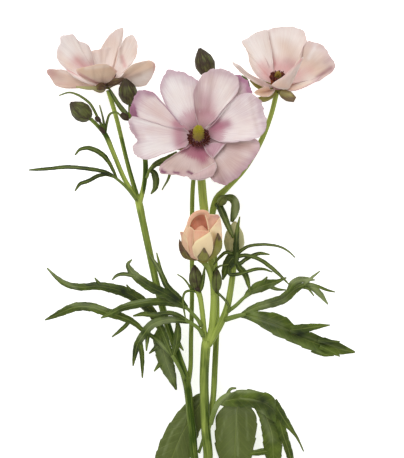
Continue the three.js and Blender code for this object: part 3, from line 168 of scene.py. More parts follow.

# Leaves: the stalk, which starts with a tone from dark (0) to light (1) and has radii in
# millimetres, then a group of soft strokes, and then the lobes, with widths in pixels. The light
# strokes paint highlights and grey sheen on the leaves and the shade strokes paint shade, along
# with paler and darker patches of the leaves' own
LEAVES = {
    "upper_left_leaf": tables("""
        0.15, 136.4 200 24.8 0.9, 126 187 26.4 0.8, 117 179 28 0.8, 112 175.4 28.8 0.8;
        shade 96 155 114 176 3 0.8, 82 168 108 174 2 0.5, 90 180 106 174 2.4 0.7, light 60 168 80 167 2 0.2;
        117 179 28 2.4, 111 166 29 3.5, 104 156 30 5, 96 150.5 30 5, 88 148 29 4.5, 80 149.5 27 3,
        75 155 25 1.4;
        116 178 28 2.4, 108 173 29 3.5, 99 170.5 30 4, 82 168 29 4, 67 167 27 4, 50 168.5 24 3.5,
        38 169.5 22 3, 29 170 20 1.4;
        114 177 28 2.4, 107 174.5 28 3.5, 99 175.5 27 4, 88 181 25 4, 80 184 23 3.5, 75 191 21 1.4"""),
    "upper_inner_leaf": tables("""
        0.3, 146.5 178 25.6 0.9, 149.5 170 26.4 0.8, 153 165 26.6 0.8;
        shade 156 165 170 158 3 0.5, 153 170 157 178 2.6 0.5, light 155 176 153 190 2 0.35,
        168 172 164 186 2 0.4;
        149 171 26.4 3, 156 164 26.4 5.5, 167 158.5 26 5.5, 177 152 25 2;
        149.4 170 26.4 3, 154 173 25.6 6, 156 181 23.6 6.5, 155 188 21.6 5, 151 194 19.6 1.4;
        156 164.4 26.4 3, 165 165 26.4 3.4, 169.6 170 25.4 3.2, 169 177 23.6 2.6, 162 190 20.6 1.2"""),
    "left_leaf": tables("""
        0.25, 184.5 379 16.6 1, 179.5 368 19.8 1, 172 355 21.4 1;
        shade 88 284 122 291 3.4 0.7, 124 292 150 312 4.6 1, 52 316 64 311 2.4 0.5, 174 330 176 350 2 0.4,
        light 50 271 76 289 2.2 0.5, 98 291 116 296 1.6 0.4, 122 299 150 314 2 0.7, 66 304 104 308 2.2 0.5,
        160 345 172 378 5 0.7;
        172 356 21.4 3, 163 333 20.8 7, 153 314 20.5 9, 143 303 20.5 11, 130 294 21 11, 115 289 21 10,
        98 286 20 8, 80 287 18 7, 66 284 15 6, 56 277 12 4, 47 268 9 1.4;
        131 292 21 5, 126.5 284.5 20.4 1.2;
        101 286 20.2 5, 94.6 277.6 19.4 1.2;
        172 356 21.4 3, 157 340 20 4.4, 144 331 20 4.4, 133 322 21 6, 122 317 22 8, 106 312 22 9,
        91 307 21 9, 75.5 307 19 9, 62.5 312 16 7.5, 54 316 13 5, 45 320 10 1.4;
        131 320 21.2 3.6, 122 329 19.4 4, 112 337 17 1.4;
        162 328 20.8 7, 160 337 19 13, 163 350 16.5 17, 167 365 14 15, 172 378 12 9, 176.4 390 10 1.6;
        158 346 18 6, 149 353.6 16.4 1.2;
        160 364 14.6 5, 154 371.4 13.4 1.2;
        173 356 21.4 4, 176.5 342 21.4 8, 178 329 21.4 6, 177 319 20.6 1.6;
        177 341 21.4 6, 183.4 350.6 19.6 1.2"""),
    "front_upper_leaf": tables("""
        0.3, 201.4 326 25 1.3, 198 320 26.6 1.1, 192 313 28 1, 184 305.6 29.8 0.8;
        light 130 262 137 276 4 0.6, 150 292 178 306 1.6 0.3, 124 304.6 150 299.4 1.2 0.5,
        152 255 160 272 2 0.4, 113 277 130 275 2 0.35, shade 140 280 178 300 3.6 0.8, 120 309 165 303 3 0.7,
        168 285 176 300 3 0.5;
        187 308 29.2 4, 180 302.5 31 8, 165.5 294 33 9.5, 151 287 34 10, 138 278 33 9, 131 271 31 7,
        128 264 28 4, 132 259.5 26 1.4;
        136 276 32.8 4, 122 274 30 4, 116 276 28 3, 112 280 26.4 1.2;
        187 307 29.2 3, 180 298.5 31 5, 167 286 33 6, 160 271 32 5, 147 251 28 1.4;
        162 275 32.2 4, 156.6 252.6 30 1.2;
        187 308 29.2 4, 181 305 28.6 6, 165.5 302 30 8, 149 302 31 8, 133 305 29.4 8, 122 308 28.4 7,
        110 314 27 5, 101 318 26 1.4"""),
    "front_lower_leaf": tables("""
        0.4, 203 336 23.2 1.3, 199 329 25.2 1.1, 192 323.6 26.4 1, 185 320 27.2 0.8;
        light 150 327 172 320 4.6 0.8, 140 336 146 344 3 0.5, shade 134 350 136 362 3 0.5,
        158 314 184 316 2.4 0.7, 140 352 142 372 2.6 0.5;
        189 321.6 26.8 3, 176 314.4 27.4 4.6, 167 313 27.6 5, 155 315 27 5, 143 314 25.4 4.5,
        133 316 23.6 1.4;
        189 321.8 26.8 4, 171 319.6 28 7, 160 321 28.6 8.5, 150 326 28 8.5, 144 334 26.6 8, 138 343 24 7,
        135 354 20 5, 133 366 17 1.4;
        149 326 28 5, 147.4 338 25 4.4, 146.4 351 22 1.2;
        139.6 341 24.6 5, 142 356 20.4 5, 142.4 378 15 1.4"""),
    "right_leaf": tables("""
        0.5, 225.4 319.6 23.8 1.5, 236 316.4 27.4 1.4, 246 314 29.6 1.1;
        shade 264 319 300 335 5 0.6, 300 334 340 346 4.6 0.7, 272 303 298 289 3 0.7,
        light 252 313 282 325 2.2 0.55, 250 317 345 350 0.8 0.5, 260 328 320 352 2 0.25,
        289 281 316 279 3.4 0.9, 312 286 327 303 3.4 1, 306 281 320 271 2 0.8, 246 312 268 305 2 0.3,
        262 306 284 300 4 0.5;
        240 315.6 28.2 3, 248 311 30 6, 257 307 30.4 8, 271 303 30 9, 283 299 29 10, 292 291.5 28 9,
        300 286.6 27.4 6.4, 310 284.4 26 3.6, 319 286.8 24.4 3.2, 327 290 22.8 2.6, 335 292 21.4 1.2;
        288 292 28.2 5, 294.6 282 28 7, 304 279.4 27.4 6, 315 280 26 1.2;
        303 286 27.2 4, 309 280 27 3.4, 320 271 26 1.2;
        306 284 26 4, 313 287.6 25 6.4, 320 294 24.4 6, 328 304.4 22.4 1.2;
        302 287 27 3, 308.4 289 26 2.4, 314 296 25 1.2;
        290 330 34 9, 304 328.4 33 9, 317 326.4 31.4 5.6, 330 325 29.4 1.2;
        312 349 29.8 7, 324 354 28.4 5, 334 355.6 26.4 1.2;
        318 340 31.4 6, 330 341.4 29.6 4, 340 341.6 28 1.2;
        320 346 30 6, 333 352 27.6 5, 340 356.4 26 1.2"""),
    "right_small_leaf": tables("""
        0.6, 227.8 311.4 24.6 1.2, 236 305.4 26.8 1.1, 243 298.6 26.6 1, 249 293.4 26.4 0.8;
        shade 255 290 268 284 5 0.35, light 272 287 286 286 3 0.6, 250 294 262 288 2 0.4;
        243 299 26.6 2.4, 250 292 26.4 7, 258 287.4 26 11, 267 284.4 25 10.4, 277 281.6 23.6 5,
        286.4 277.6 22 1.4;
        262 284 25.4 6, 267.4 276.6 24.8 1.2;
        268 285 24.8 5, 276 289 23 3.4, 286 290 21.4 1.2"""),
    "upper_right_leaf": tables("""
        0.3, 235.6 264 28 0.9, 236.6 257 29 1, 237.4 252 29.6 1;
        shade 236 240 236 262 4 0.7, 226 262 234 272 5 0.8, 240 253 250 247 2 0.4, 246 256 262 262 2 0.4,
        light 262 245 280 248 1.6 0.3, 270 266 284 280 1.4 0.3, 236 220 237 240 1.4 0.3;
        236.6 256 29 3.6, 239.6 252 30 3.4, 248 246.4 32 3.2, 256.5 244.8 33 3, 267 244.6 33 2.8,
        279.4 246.6 32 2.2, 288 251 31 1.8, 295.2 257.6 30 1;
        237 257 29 4, 242.4 255.4 30 4, 251.2 256.3 31.4 4, 261 260.2 32.4 4, 271.5 267.7 32.8 4,
        280.3 275.6 32.6 3, 289 284.4 32 1.2;
        236.4 262 28.4 4, 240 263.4 28.4 4, 245 259.8 28.4 4, 253 255.4 28 4, 260 253.4 27.6 3.6,
        269.7 254.5 27 1.2;
        236.6 261 28.6 4, 239 267 28.4 6, 245 274 27.6 6, 248.4 284.4 28 4, 250 291.5 28.8 1.2;
        236 262 28.4 8, 233 258 29 12, 228.4 264 28.4 11, 225 272 27 7, 222.6 280 25.2 1.4;
        236.4 258 29 6, 236 249 31 6, 236.4 240 33.4 5.4, 237.4 229 34.6 4, 239.8 216.6 35 1.2;
        233 254 29.8 4, 226 252.4 30.6 3.4, 220 257 30.4 3, 213.4 265 30 1.2;
        229 266 28.4 4, 229.4 274 28.2 3.6, 236 274.4 29 3.6, 245 272.4 30.6 3.4, 254 269.5 30.4 3.4,
        263 269 29.6 2.6, 272.4 272 28.8 1.2"""),
    "lower_right_leaf": tables("""
        0.5, 210.8 424 15.4 1.3, 213 415 18 1.5, 217 405 21 1.6, 223 398 23.6 1.5, 231 393.4 25 1.3;
        light 216 408 232 390 3 0.7, 238 391.6 262 391 1.6 0.7, 240 398 268 403 0.9 0.6,
        228 412 232 450 6 0.3, 236 410 238 456 1 0.6, 226 416 220 440 0.9 0.5, 246 412 248 440 0.9 0.5,
        262 412 272 440 3 0.6, shade 236 403 262 402 2.6 0.6, 262 398 274 412 4 0.7, 268 412 276 430 2 0.5;
        226 396 24.2 3, 231 388.8 26 3, 236.4 388.2 26.4 1.6;
        273 401 23 9, 280 413 21 9, 286 422.5 19 8, 291 429 17 5, 297 437.5 15 2.6, 303.7 451.4 12 1.2;
        275 408 21.6 11, 280 423 18 10, 283 434.3 15.5 9, 286.6 444.3 13 8, 290 455.7 11 7, 293 468 9 4,
        295 477 7.6 1.4;
        260 408 23 10, 267.4 420 18.6 15, 272 435 15 19, 273 450 12 18, 274 465 9.4 13, 276 480 7 7,
        277 492 5.4 1.6;
        271 450 12 7, 258 452.4 10.4 6.4, 247 453.4 9.4 4"""),
    "lower_left_leaf": tables("""
        0.5, 198.6 453 8.2 0.9, 202 443 7.6 0.9, 205 430 8 0.9, 206.6 415 9 0.9, 206 404 9.4 1;
        light 200 398 172 432 1 0.5, 172 432 163 455 1 0.5, 190 408 176 450 0.9 0.35,
        shade 196 400 190 425 3 0.4, 200 395 206 405 3 0.5"""),
}

# Broad leaf blades: how far the keel stands up and the edge is cut in millimetres, and two edges
BLADES = {
    "right_leaf": [
        tables("""
            -1.2 0.4;
            241 313.4 28.6, 250 311.8 30, 262 311.4 31.6, 276 313 33, 286 317 34, 295 325 34, 308 331 32.8,
            323 337 30.6, 338 342 28, 355 351 24.6;
            240 317.6 28.6, 246 319 29.4, 254 322.6 30.6, 265 329.4 32, 276 336 33, 288 340.8 32.8,
            300 346.4 31.6, 312 351 30, 330 355 27.6, 355 353.2 24.6"""),
    ],
    "lower_right_leaf": [
        tables("""
            1.6 0.4;
            222 398 23.4, 230 393 26, 237 390.4 27.2, 248 389.3 28, 259.4 391.4 28, 269.4 393.8 27,
            274.6 398.4 25, 276.4 406 22;
            219.6 405 21.4, 225 406.6 23, 232 407.2 24.4, 241 407.6 25.6, 251 408 26, 259 411.6 25,
            266 416.4 23, 276.4 423.6 19"""),
        tables("""
            0.8 0.5;
            224 406 22.6, 216.6 415 17, 215.4 427 13.4, 215 441 10, 217.4 455 7.8, 226 472 6, 238 488 4.4;
            251 407 24, 256.6 417 18, 256.6 430 14, 254 448 10.4, 251 460 8.4, 247 475 6.2, 241 489 4.4"""),
    ],
    "lower_left_leaf": [
        tables("""
            0.5 0.4;
            206.6 394 10, 198 393.6 9, 185 404 7, 174 417 5.6, 165 431 4.6, 158 447 3.6, 154 463 2.8,
            153 478 2.2, 157 493 1.8;
            208 399 10, 206.6 409 8.6, 204 420 7.4, 200 431 6.4, 196 441 5.6, 192 452 4.8, 187 465 3.8,
            177 480 2.6, 159 494 1.8"""),
    ],
}

# Closed green buds: base, tip, and radius in millimetres with how brown it is, below 0 for fresh green
GREEN_BUDS = named("""
    left_bud: 90.4 118.6 27.8, 70.6 103 27.6, 5 0.5;
    inner_left_bud: 130.4 104 29.4, 125.2 79 33.6, 5 0.65;
    top_bud: 209.2 76 20, 199.6 48.6 20, 5.3 0.75;
    left_knot_bud: 196.6 289 26.6, 194.6 265.6 30, 3.5 0.5;
    right_knot_bud: 216.6 291.4 26.2, 217.6 270 30, 2.5 0.2;
    right_bud: 233.8 256 25.2, 235 222 23, 5.3 -0.5;
    fuzzy_bud: 219.6 204.6 19.4, 225.6 196.6 22.6, 2.2 -0.15""")
BUD_PROFILE = table("0 0.34, 0.15 0.76, 0.4 1, 0.66 0.86, 0.88 0.42, 1 0.1")

# How woolly some of them are
BUD_WOOL = {"right_bud": 2.2, "right_knot_bud": 1.6, "left_knot_bud": 1.0, "fuzzy_bud": 3.0}

# Dark scales at the stem joints, from one end to the other, with a radius in millimetres
KNOT_SCALES = tables("""
    121 113.4 29.6, 129 120.6 30, 1.9;
    95.4 116.6 28.8, 101 122.4 28.8, 1.5;
    100 127 28.6, 105 134 28, 1.3;
    195.6 286.4 28.6, 200 291.4 28.2, 1.5""")

# Open blooms. Each petal: how it is lifted, or bulges to the right, up and out, and then its rim.
# Each look: blush at the foot, tan, mauve at the rim, and the number, height in millimetres and phase
# of the waves, and then soft strokes. A dent is a crease, its strength in millimetres. Light strokes
# paint highlights and lit edges, shade strokes paint shade in folds, creases and where petals overlap
# or turn from the lamps
FRONT_BLOOM = {
    "centre": [198.6, 134.5, 39],
    "axis": [0, 0.3, 0.95],
    "receptacle_radius": 5.2,
    "lean": 0.27,
    "cup": 7,
    "hollow": 1.2,
    "frill": 1.0,
    "petals": tables("""
        0, 180 124, 165 104, 160 87, 163 77, 168 71, 176 70.5, 184 72, 191 76, 198 81.5, 200 96, 200 112;
        2.3, 195 114, 193.6 94, 197 84, 205 73, 214 69, 222.5 69, 231 71.4, 237.4 78, 239 86, 236 94,
        226 106, 216 119;
        -1.2, 221 92, 228 79, 236 75, 244.5 78, 250 85, 252 93, 246 102, 232 113;
        3.4, 216 121, 230 104, 240 94.6, 251 93, 260 99, 264.4 111, 266 123, 263.4 133, 256 139.4, 240 142,
        220 142;
        -0.2, 222 141, 240 141, 258 140, 259 147, 255.6 155, 250 164, 242 173, 234 181, 226 185, 217 182.6,
        211 178, 210 164, 205 150;
        2, 187 148, 177 152.6, 166 160, 158.4 169, 164 174, 177 174, 190 178.4, 200 180, 212 176, 216 168,
        213 158, 206 148;
        -0.2, 182 130, 162 126, 147 122, 134 119, 129 110, 132 102, 134.4 95, 138 91.6, 145 90, 153 92.4,
        158 99, 167 108, 178 122;
        1.1, 186 147, 171 151.6, 158 156, 148 159.6, 140 158.6, 134 152, 131 147, 137 141.6, 132 133,
        129 124, 132 117, 148 120, 168 126.4, 184.4 128"""),
    "looks": tables("""
        0.62 0.05 0.7 1.6 0.4 0.4, plum 166 76 196 84 4 0.18, shade 196 88 197 110 3 0.2,
        light 170 80 184 112 9 0.4, pink 186 112 196 124 5 0.25;
        0.6 0.15 0.4 2.2 0.5 1.4, pink 212 84 212 106 6 0.16, 198 90 203 112 9 0.35, 206 100 214 116 8 0.3,
        shade 197 86 200 112 6 0.4, 212 76 208 110 3 0.3, dent 213 72 208 116 3 -0.3,
        light 229 80 216 108 7 0.3, 238 88 216 118 1.2 0.6, plum 210 70 234 74 4 0.25;
        0.3 0 1.4 1.5 0.4 0.2, shade 232 84 244 100 6 0.4;
        0.75 0.05 0.4 2.4 0.5 2.2, pink 214 128 227 124 5.5 0.85, 236 100 244 118 10 0.14,
        plum 214 128 226 124 4.5 0.4, 259 100 264 128 3 0.32, dent 255 97 261 132 3 0.6,
        shade 251 98 257 132 2.2 0.2, 232 108 246 110 8 0.12, light 239 97 216 119 1.2 0.7,
        232 116 248 130 6 0.3;
        0.65 0.25 0.5 2 0.5 0.9, light 214 141.6 257 141 1.2 0.7, shade 216 147 248 146 3.5 0.4,
        236 152 226 176 18 0.32, 213 160 222 181 5 0.35, plum 238 180 256 156 5 0.36, 222 180 236 178 6 0.3,
        pink 236 152 226 176 16 0.2, dent 222 148 238 178 4 -0.5;
        1.2 0.35 0.4 2 0.5 3, shade 178 166 206 166 14 0.26, 168 165 188 170 4 0.2,
        pink 178 166 206 166 14 0.14, 198 148 203 160 6 0.9, plum 162 170.6 165 172 1.6 1.3,
        174 171.6 179 172.4 1.2 1, 188 172.6 192 174 1.6 1.3, dent 196 150 176 170 4 0.4;
        0.4 0.1 0.85 2.6 0.25 0.6, plum 131 106 134 117 2.8 3, 134 98 138 92 3 0.35, 138 92 153 95 3 0.4,
        shade 130 108 133 118 2 0.4, tan 150 106 172 122 8 0.15, pink 146 104 168 120 9 0.22,
        176 124 186 131 5 0.8, dent 138 98 170 124 3 -0.5, light 150 117 180 130 2.4 0.4;
        0.35 0.05 0.35 2.6 0.25 1.8, pink 179 131 180 143 7 0.75, 140 127 168 133 5 0.16,
        light 148 146 172 149 5 0.35, 181 151 191 145.4 1 1.4, 134 120.4 172 128 1.6 0.6,
        dent 140 146 175 138 4 0.4, plum 131 124 137 141 2.6 0.5"""),
}
LEFT_BLOOM = {
    "centre": [106.4, 82, 23],
    "axis": [0, 1, 0.05],
    "receptacle_radius": 3.6,
    "petals": tables("""
        -2 0 -3, 84 82 18, 66 69.6 16, 57.4 58 13.4, 57.4 49 12.6, 60.2 43 13, 60.6 37 14, 66 34.6 15,
        73 34.2 16, 76 38.4 16.4, 80 41.4 16.8, 86.6 43.6 17, 90 48 17.4, 91.6 54 18.2, 93 64 19.4;
        0 -2 -6, 93 66 13, 90 56 10, 92 50.6 8.6, 100 49 7, 110 47.6 6, 119.6 47.4 7, 122.4 57 10,
        119 69 15;
        0 0 -6, 98 62 5, 100.6 49 3.4, 108 37 2.4, 115 30 2.4, 123 27.6 3, 122.4 39 4, 119 52 6, 116 64 10;
        2 0 -3, 116 66 17, 119 49 15, 126.6 36.6 13, 132 35 13, 137 42 14.4, 137 54 17, 133 62 19,
        122 73 21.4;
        2 -1 2, 124 72 31, 134 63.6 34, 152 61 35, 155.4 65 34, 154 73 31, 144.6 85.6 25, 134.6 85.6 24,
        125 82 23;
        0 -3 6, 82 77.6 33, 76.4 69.6 40, 86 66.6 44, 98 64.2 46, 106.4 64.4 45.4, 113.6 68 39,
        117.4 71.4 34;
        -2 -2 2, 84 84.6 26, 73 87 27.6, 63 88 28, 55.6 85 28, 51 79 26.4, 46.4 71 24, 54 69.6 22, 66 70 21,
        82 78.6 21.6;
        0 -2 -8, 92 80 10, 84 73 4, 86 66 0.9, 95 62.6 0, 105 62 -0.05, 114 63 0.1, 120 68 3, 120 77 10"""),
    # light and shade strokes here are painted highlights and painted shade
    "looks": tables("""
        0.4 0 0.15 2.2 0.3 0.4, pink 76 62 90 72 7 0.5, 78 60 88 70 4 0.3, plum 84 60 92 66 4 0.3,
        shade 89 47 92 62 2.2 0.3, 72 40 84 60 12 0.1, light 63 40 70 54 6 0.35, tan 60 56 72 68 4 0.3;
        0.2 0.2 0.1 3 0.35 1, shade 101 50 101.5 62 1.8 0.3, 107.5 49 106 62 1.8 0.25,
        pink 121 50 119 68 2 0.6, 90 58 92 66 3 0.3, light 96 54 98 64 3 0.35;
        0.1 0.15 0.1 1.5 0.3 0.2, light 117 34 121 44 3 0.3, shade 106 44 119 36 14 0.26;
        0.1 0.1 0.1 1.5 0.3 0.2, tan 133 42 136 54 3.4 0.15, pink 122 57 125 66 2.2 0.6,
        shade 120.5 48 121.5 62 2 0.4, 126 44 134 52 8 0.12;
        0.2 0.3 0.1 1.5 0.2 0.2, tan 127 71 149 65 6 0.75, light 130 70 146 66 5 0.16, 134 83 150 75 5 0.4,
        shade 124 76 140 74 2.6 0.3, 140 72 150 70 8 0.12, pink 154 62 155 74 1.4 0.5,
        dent 124 79 152 66 3 0.5;
        0.2 0.6 0.05 2.5 0.25 0.8, tan 84 70 112 72 9 0.6, pink 112 65 118 72 2.4 0.5, 78 73 97 83 1.6 0.7,
        light 86 68 108 66 1.6 0.3, 86 74 112 75 9 0.16, shade 80 75 97 83 1.2 0.4, 93 68 95 80 1.6 0.2,
        104 67 102 80 1.6 0.2;
        0.1 0.6 0.2 2 0.3 0.8, shade 56 74 80 84 10 0.36, pink 47 71 54 76 3 0.3, 58 83 80 87 2 0.2,
        plum 50 72 60 78 4 0.3, light 60 71 76 77 2 0.4;
        0.4 0.3 0.2 2 0.4 0.8"""),
}
RIGHT_BLOOM = {
    "centre": [278, 85.6, 18],
    "axis": [0, 0.82, 0.57],
    "receptacle_radius": 3.6,
    "petals": tables("""
        -1 0 -4, 260 79 15, 253.6 72 12, 250 63 9, 247.6 53 6, 243 44.6 4, 242 41 4, 247 37.6 3, 259 31 2.4,
        267 30 2.2, 270 42 4.8, 273 62 11;
        0 0 -5, 268 66 11, 262.6 50 5, 264 34 1.2, 270 28.6 0.2, 277 27 0.1, 285 26.2 0.1, 294 27.2 0.6,
        302 30 2.4, 306.4 39 5.4, 306 51 9, 300 63 13, 290 74 16;
        2 0 -3, 294 73 18, 301 57 16, 307 41.6 15, 314 41.6 15.6, 324 46.4 17, 330 56 20, 335 64 23,
        334 69 25, 330 74.6 27, 316 82 27, 298 85 23;
        1 -1 1, 290 84 23.6, 300 81.6 26, 314 79 29, 321 76 33, 316 82 37, 302 88.4 36, 291 91 29;
        0 -2 4, 274 84 24, 278 80.6 26, 284 77.6 30, 290 72 33, 297 64.4 37, 301 60 39, 299 67 39,
        294 77 34, 287 88 27;
        -2 -2 0, 266 82 19, 250 74 19.6, 238.6 65.4 21.6, 232 61.6 24.6, 237 68.6 29, 250 79 31,
        264 86.4 27.6;
        -1 -3 3, 269 86.4 26, 261 88 31, 254 92.6 36, 258 95.4 38, 267 96 36.6, 272.6 92 31"""),
    # light and shade strokes here are painted highlights and painted shade
    "looks": tables("""
        0.4 0.05 0.1 3 0.3 0.4, light 250 42 262 60 6 0.35, shade 264 36 271 72 1.6 0.05,
        pink 262 66 271 78 6 0.6, tan 245 46 254 70 3.4 0.3;
        0.5 0.1 0.15 4 0.35 1, pink 268 38 275 64 1.4 0.4, 272 65 294 66 7 0.6, light 284 32 299 42 7 0.3,
        272 34 276 52 3 0.4, shade 288 44 296 62 8 0.2, tan 286 46 294 60 6 0.2, plum 288 62 296 70 5 0.3;
        0.4 0.25 0.3 3 0.4 0.2, shade 306 56 331 70 8 0.3, tan 300 62 324 72 8 0.26,
        light 309 58 316 44 2.4 0.7, 316 50 324 50 2.4 0.4, pink 296 74 310 70 5 0.4,
        plum 326 62 332 58 3 0.4, 331 68 318 78 2.6 0.8, dent 296 76 324 56 3 0.6;
        0.2 0.6 0.5 2 0.3 0.2, light 296 84 316 80 3 0.3, plum 312 79 321 76 2 0.7;
        0.1 0.3 0.05 1.5 0.1 0.2, light 298 64 286 82 4 0.5, pink 280 78 290 70 2 0.5,
        tan 276 86 290 86 5 0.5;
        0.3 0.3 0.1 1.5 0.2 0.8, shade 238 68 262 84 2.4 0.55, light 234 62 246 72 2 0.3;
        0.2 0.6 0.1 1.5 0.2 0.8, tan 258 93 270 90 5 0.4, shade 262 94 272 90 2.6 0.3"""),
}

# Sepals: the radius of their disc in millimetres, and lobes, each with how brown and how pale it is
# and then its points with a width in pixels
SEPALS = {
    "front_bloom": {
        "disc_radius": 2.8,
        "lobes": tables("""
            0.1 0.1, 195 128 34.6 13, 186 112 32 2;
            0.1 0.1, 208 129 34.6 13, 220 115 33 2;
            0.1 0.1, 186 144 35.8 13, 168 146 37.4 2;
            0.1 0.1, 212 147 36.4 13, 229 154 39 2;
            0.1 0.1, 196 153 37.4 13, 191 170 41 2"""),
    },
    "left_bloom": {
        "disc_radius": 2.2,
        "lobes": tables("""
            -0.1 0.7, 97 88 28 4, 87 88 30.4 3.4, 76 86.8 31.4 1.6;
            0.72 0, 105 87 30 6, 101 86.4 33.6 8, 96.4 87.6 35.6 4;
            1.1 0, 109 84.4 28 5, 114 82 29.6 7.4, 119 80.4 30.4 5.4, 124 78.4 30.6 1.6;
            0.6 0, 112 84.4 18.6 5, 122 82 12.6 2;
            0.2 0.2, 100 89 16.6 8, 90 87 9 2"""),
    },
    "right_bloom": {
        "disc_radius": 2.2,
        "lobes": tables("""
            -0.3 0.1, 268 89.6 18 5, 258 86 19 5, 250 80 19.6 2;
            -0.2 0.15, 270 96.4 23 6, 263 99 28 6, 256 99 32 2;
            0.2 0.1, 283 93.4 21 9, 288.6 96.4 24 10, 295 99.8 25.6 5;
            0.3 0.1, 287 89 11.6 8, 302 84 6.4 2;
            0.3 0.1, 270.6 86.6 9 8, 261 78 3 2"""),
    },
}
SEPAL_STROKES = table("""
    brown 283 100 296 100 2.6 1.6, 102 88 107 86 3 0.5, light 282 92 290 94 2.6 0.5""")

# Turned-over parts of petals: a group of even values, one of soft strokes, and then rows of points.
# Their light paints highlights on the turned edges and faces, their shade paints shade along the folds
FOLDS = {
    "front_bloom": [
        tables("""
            pink 0.4, tan 0.3, shade 0.08, share 0.8;
            light 190 179 212 177 1.6 0.5, shade 192 174.6 214 163 1.6 0.4;
            190 175.6 50.4, 202 170 50.4, 215.6 162 48.4;
            188.8 177.6 51.2, 203 175 51.4, 216.8 167 49.6;
            190.4 179.6 50.6, 202 180.2 50.8, 213 176.2 50.2"""),
        tables("""
            pink 0.8, plum 0.12, share 0.5;
            light 225 143.6 212.6 158.4 1.3 0.7, shade 205 148 211 155 2.4 0.3;
            203 145 42.6, 214 142.6 43, 226 143 43.8;
            205 149.4 43.6, 212.6 149 44.2, 220 150.6 45;
            207.6 154 44.8, 210 156.4 45.2, 212.8 158.8 45.8"""),
    ],
    "right_bloom": [
        tables("""
            tan 0.55, pink 0.2, light 0.3, share 0.5;
            pink 283 76 301 59 1.4 0.7, light 290 82 300 68 4 0.35, tan 280 86 288 86 4 0.4,
            shade 278 88.6 289 89.4 1.4 0.2;
            270.6 85.4 27, 278 88.4 28.4, 288.6 89.4 27;
            275.6 81.2 30, 282 82 32.4, 293 81.6 31;
            282.4 77 34, 288 76.6 36, 296.4 74.4 35;
            290 70.2 38, 294 69.6 39.2, 299.4 67.4 38.4;
            297.6 62.4 41.4, 299.8 61.8 42.2, 302.2 60.8 41.8;
            302.2 57.2 43, 302.8 57 43.2, 303.6 56.8 43"""),
    ],
    "left_bloom": [
        tables("""
            pink 0.15, tan 0.2, share 0.5;
            pink 66 69 97 83 1.8 0.8, light 76 76 92 82 2 0.4;
            65 67.6 23.6, 80 76 28.4, 99 83.6 29;
            69 72.6 27, 82 79.6 30.6, 99 84.8 29.8;
            74 77.4 28.6, 85 82.8 30.8, 99 86 29"""),
    ],
}

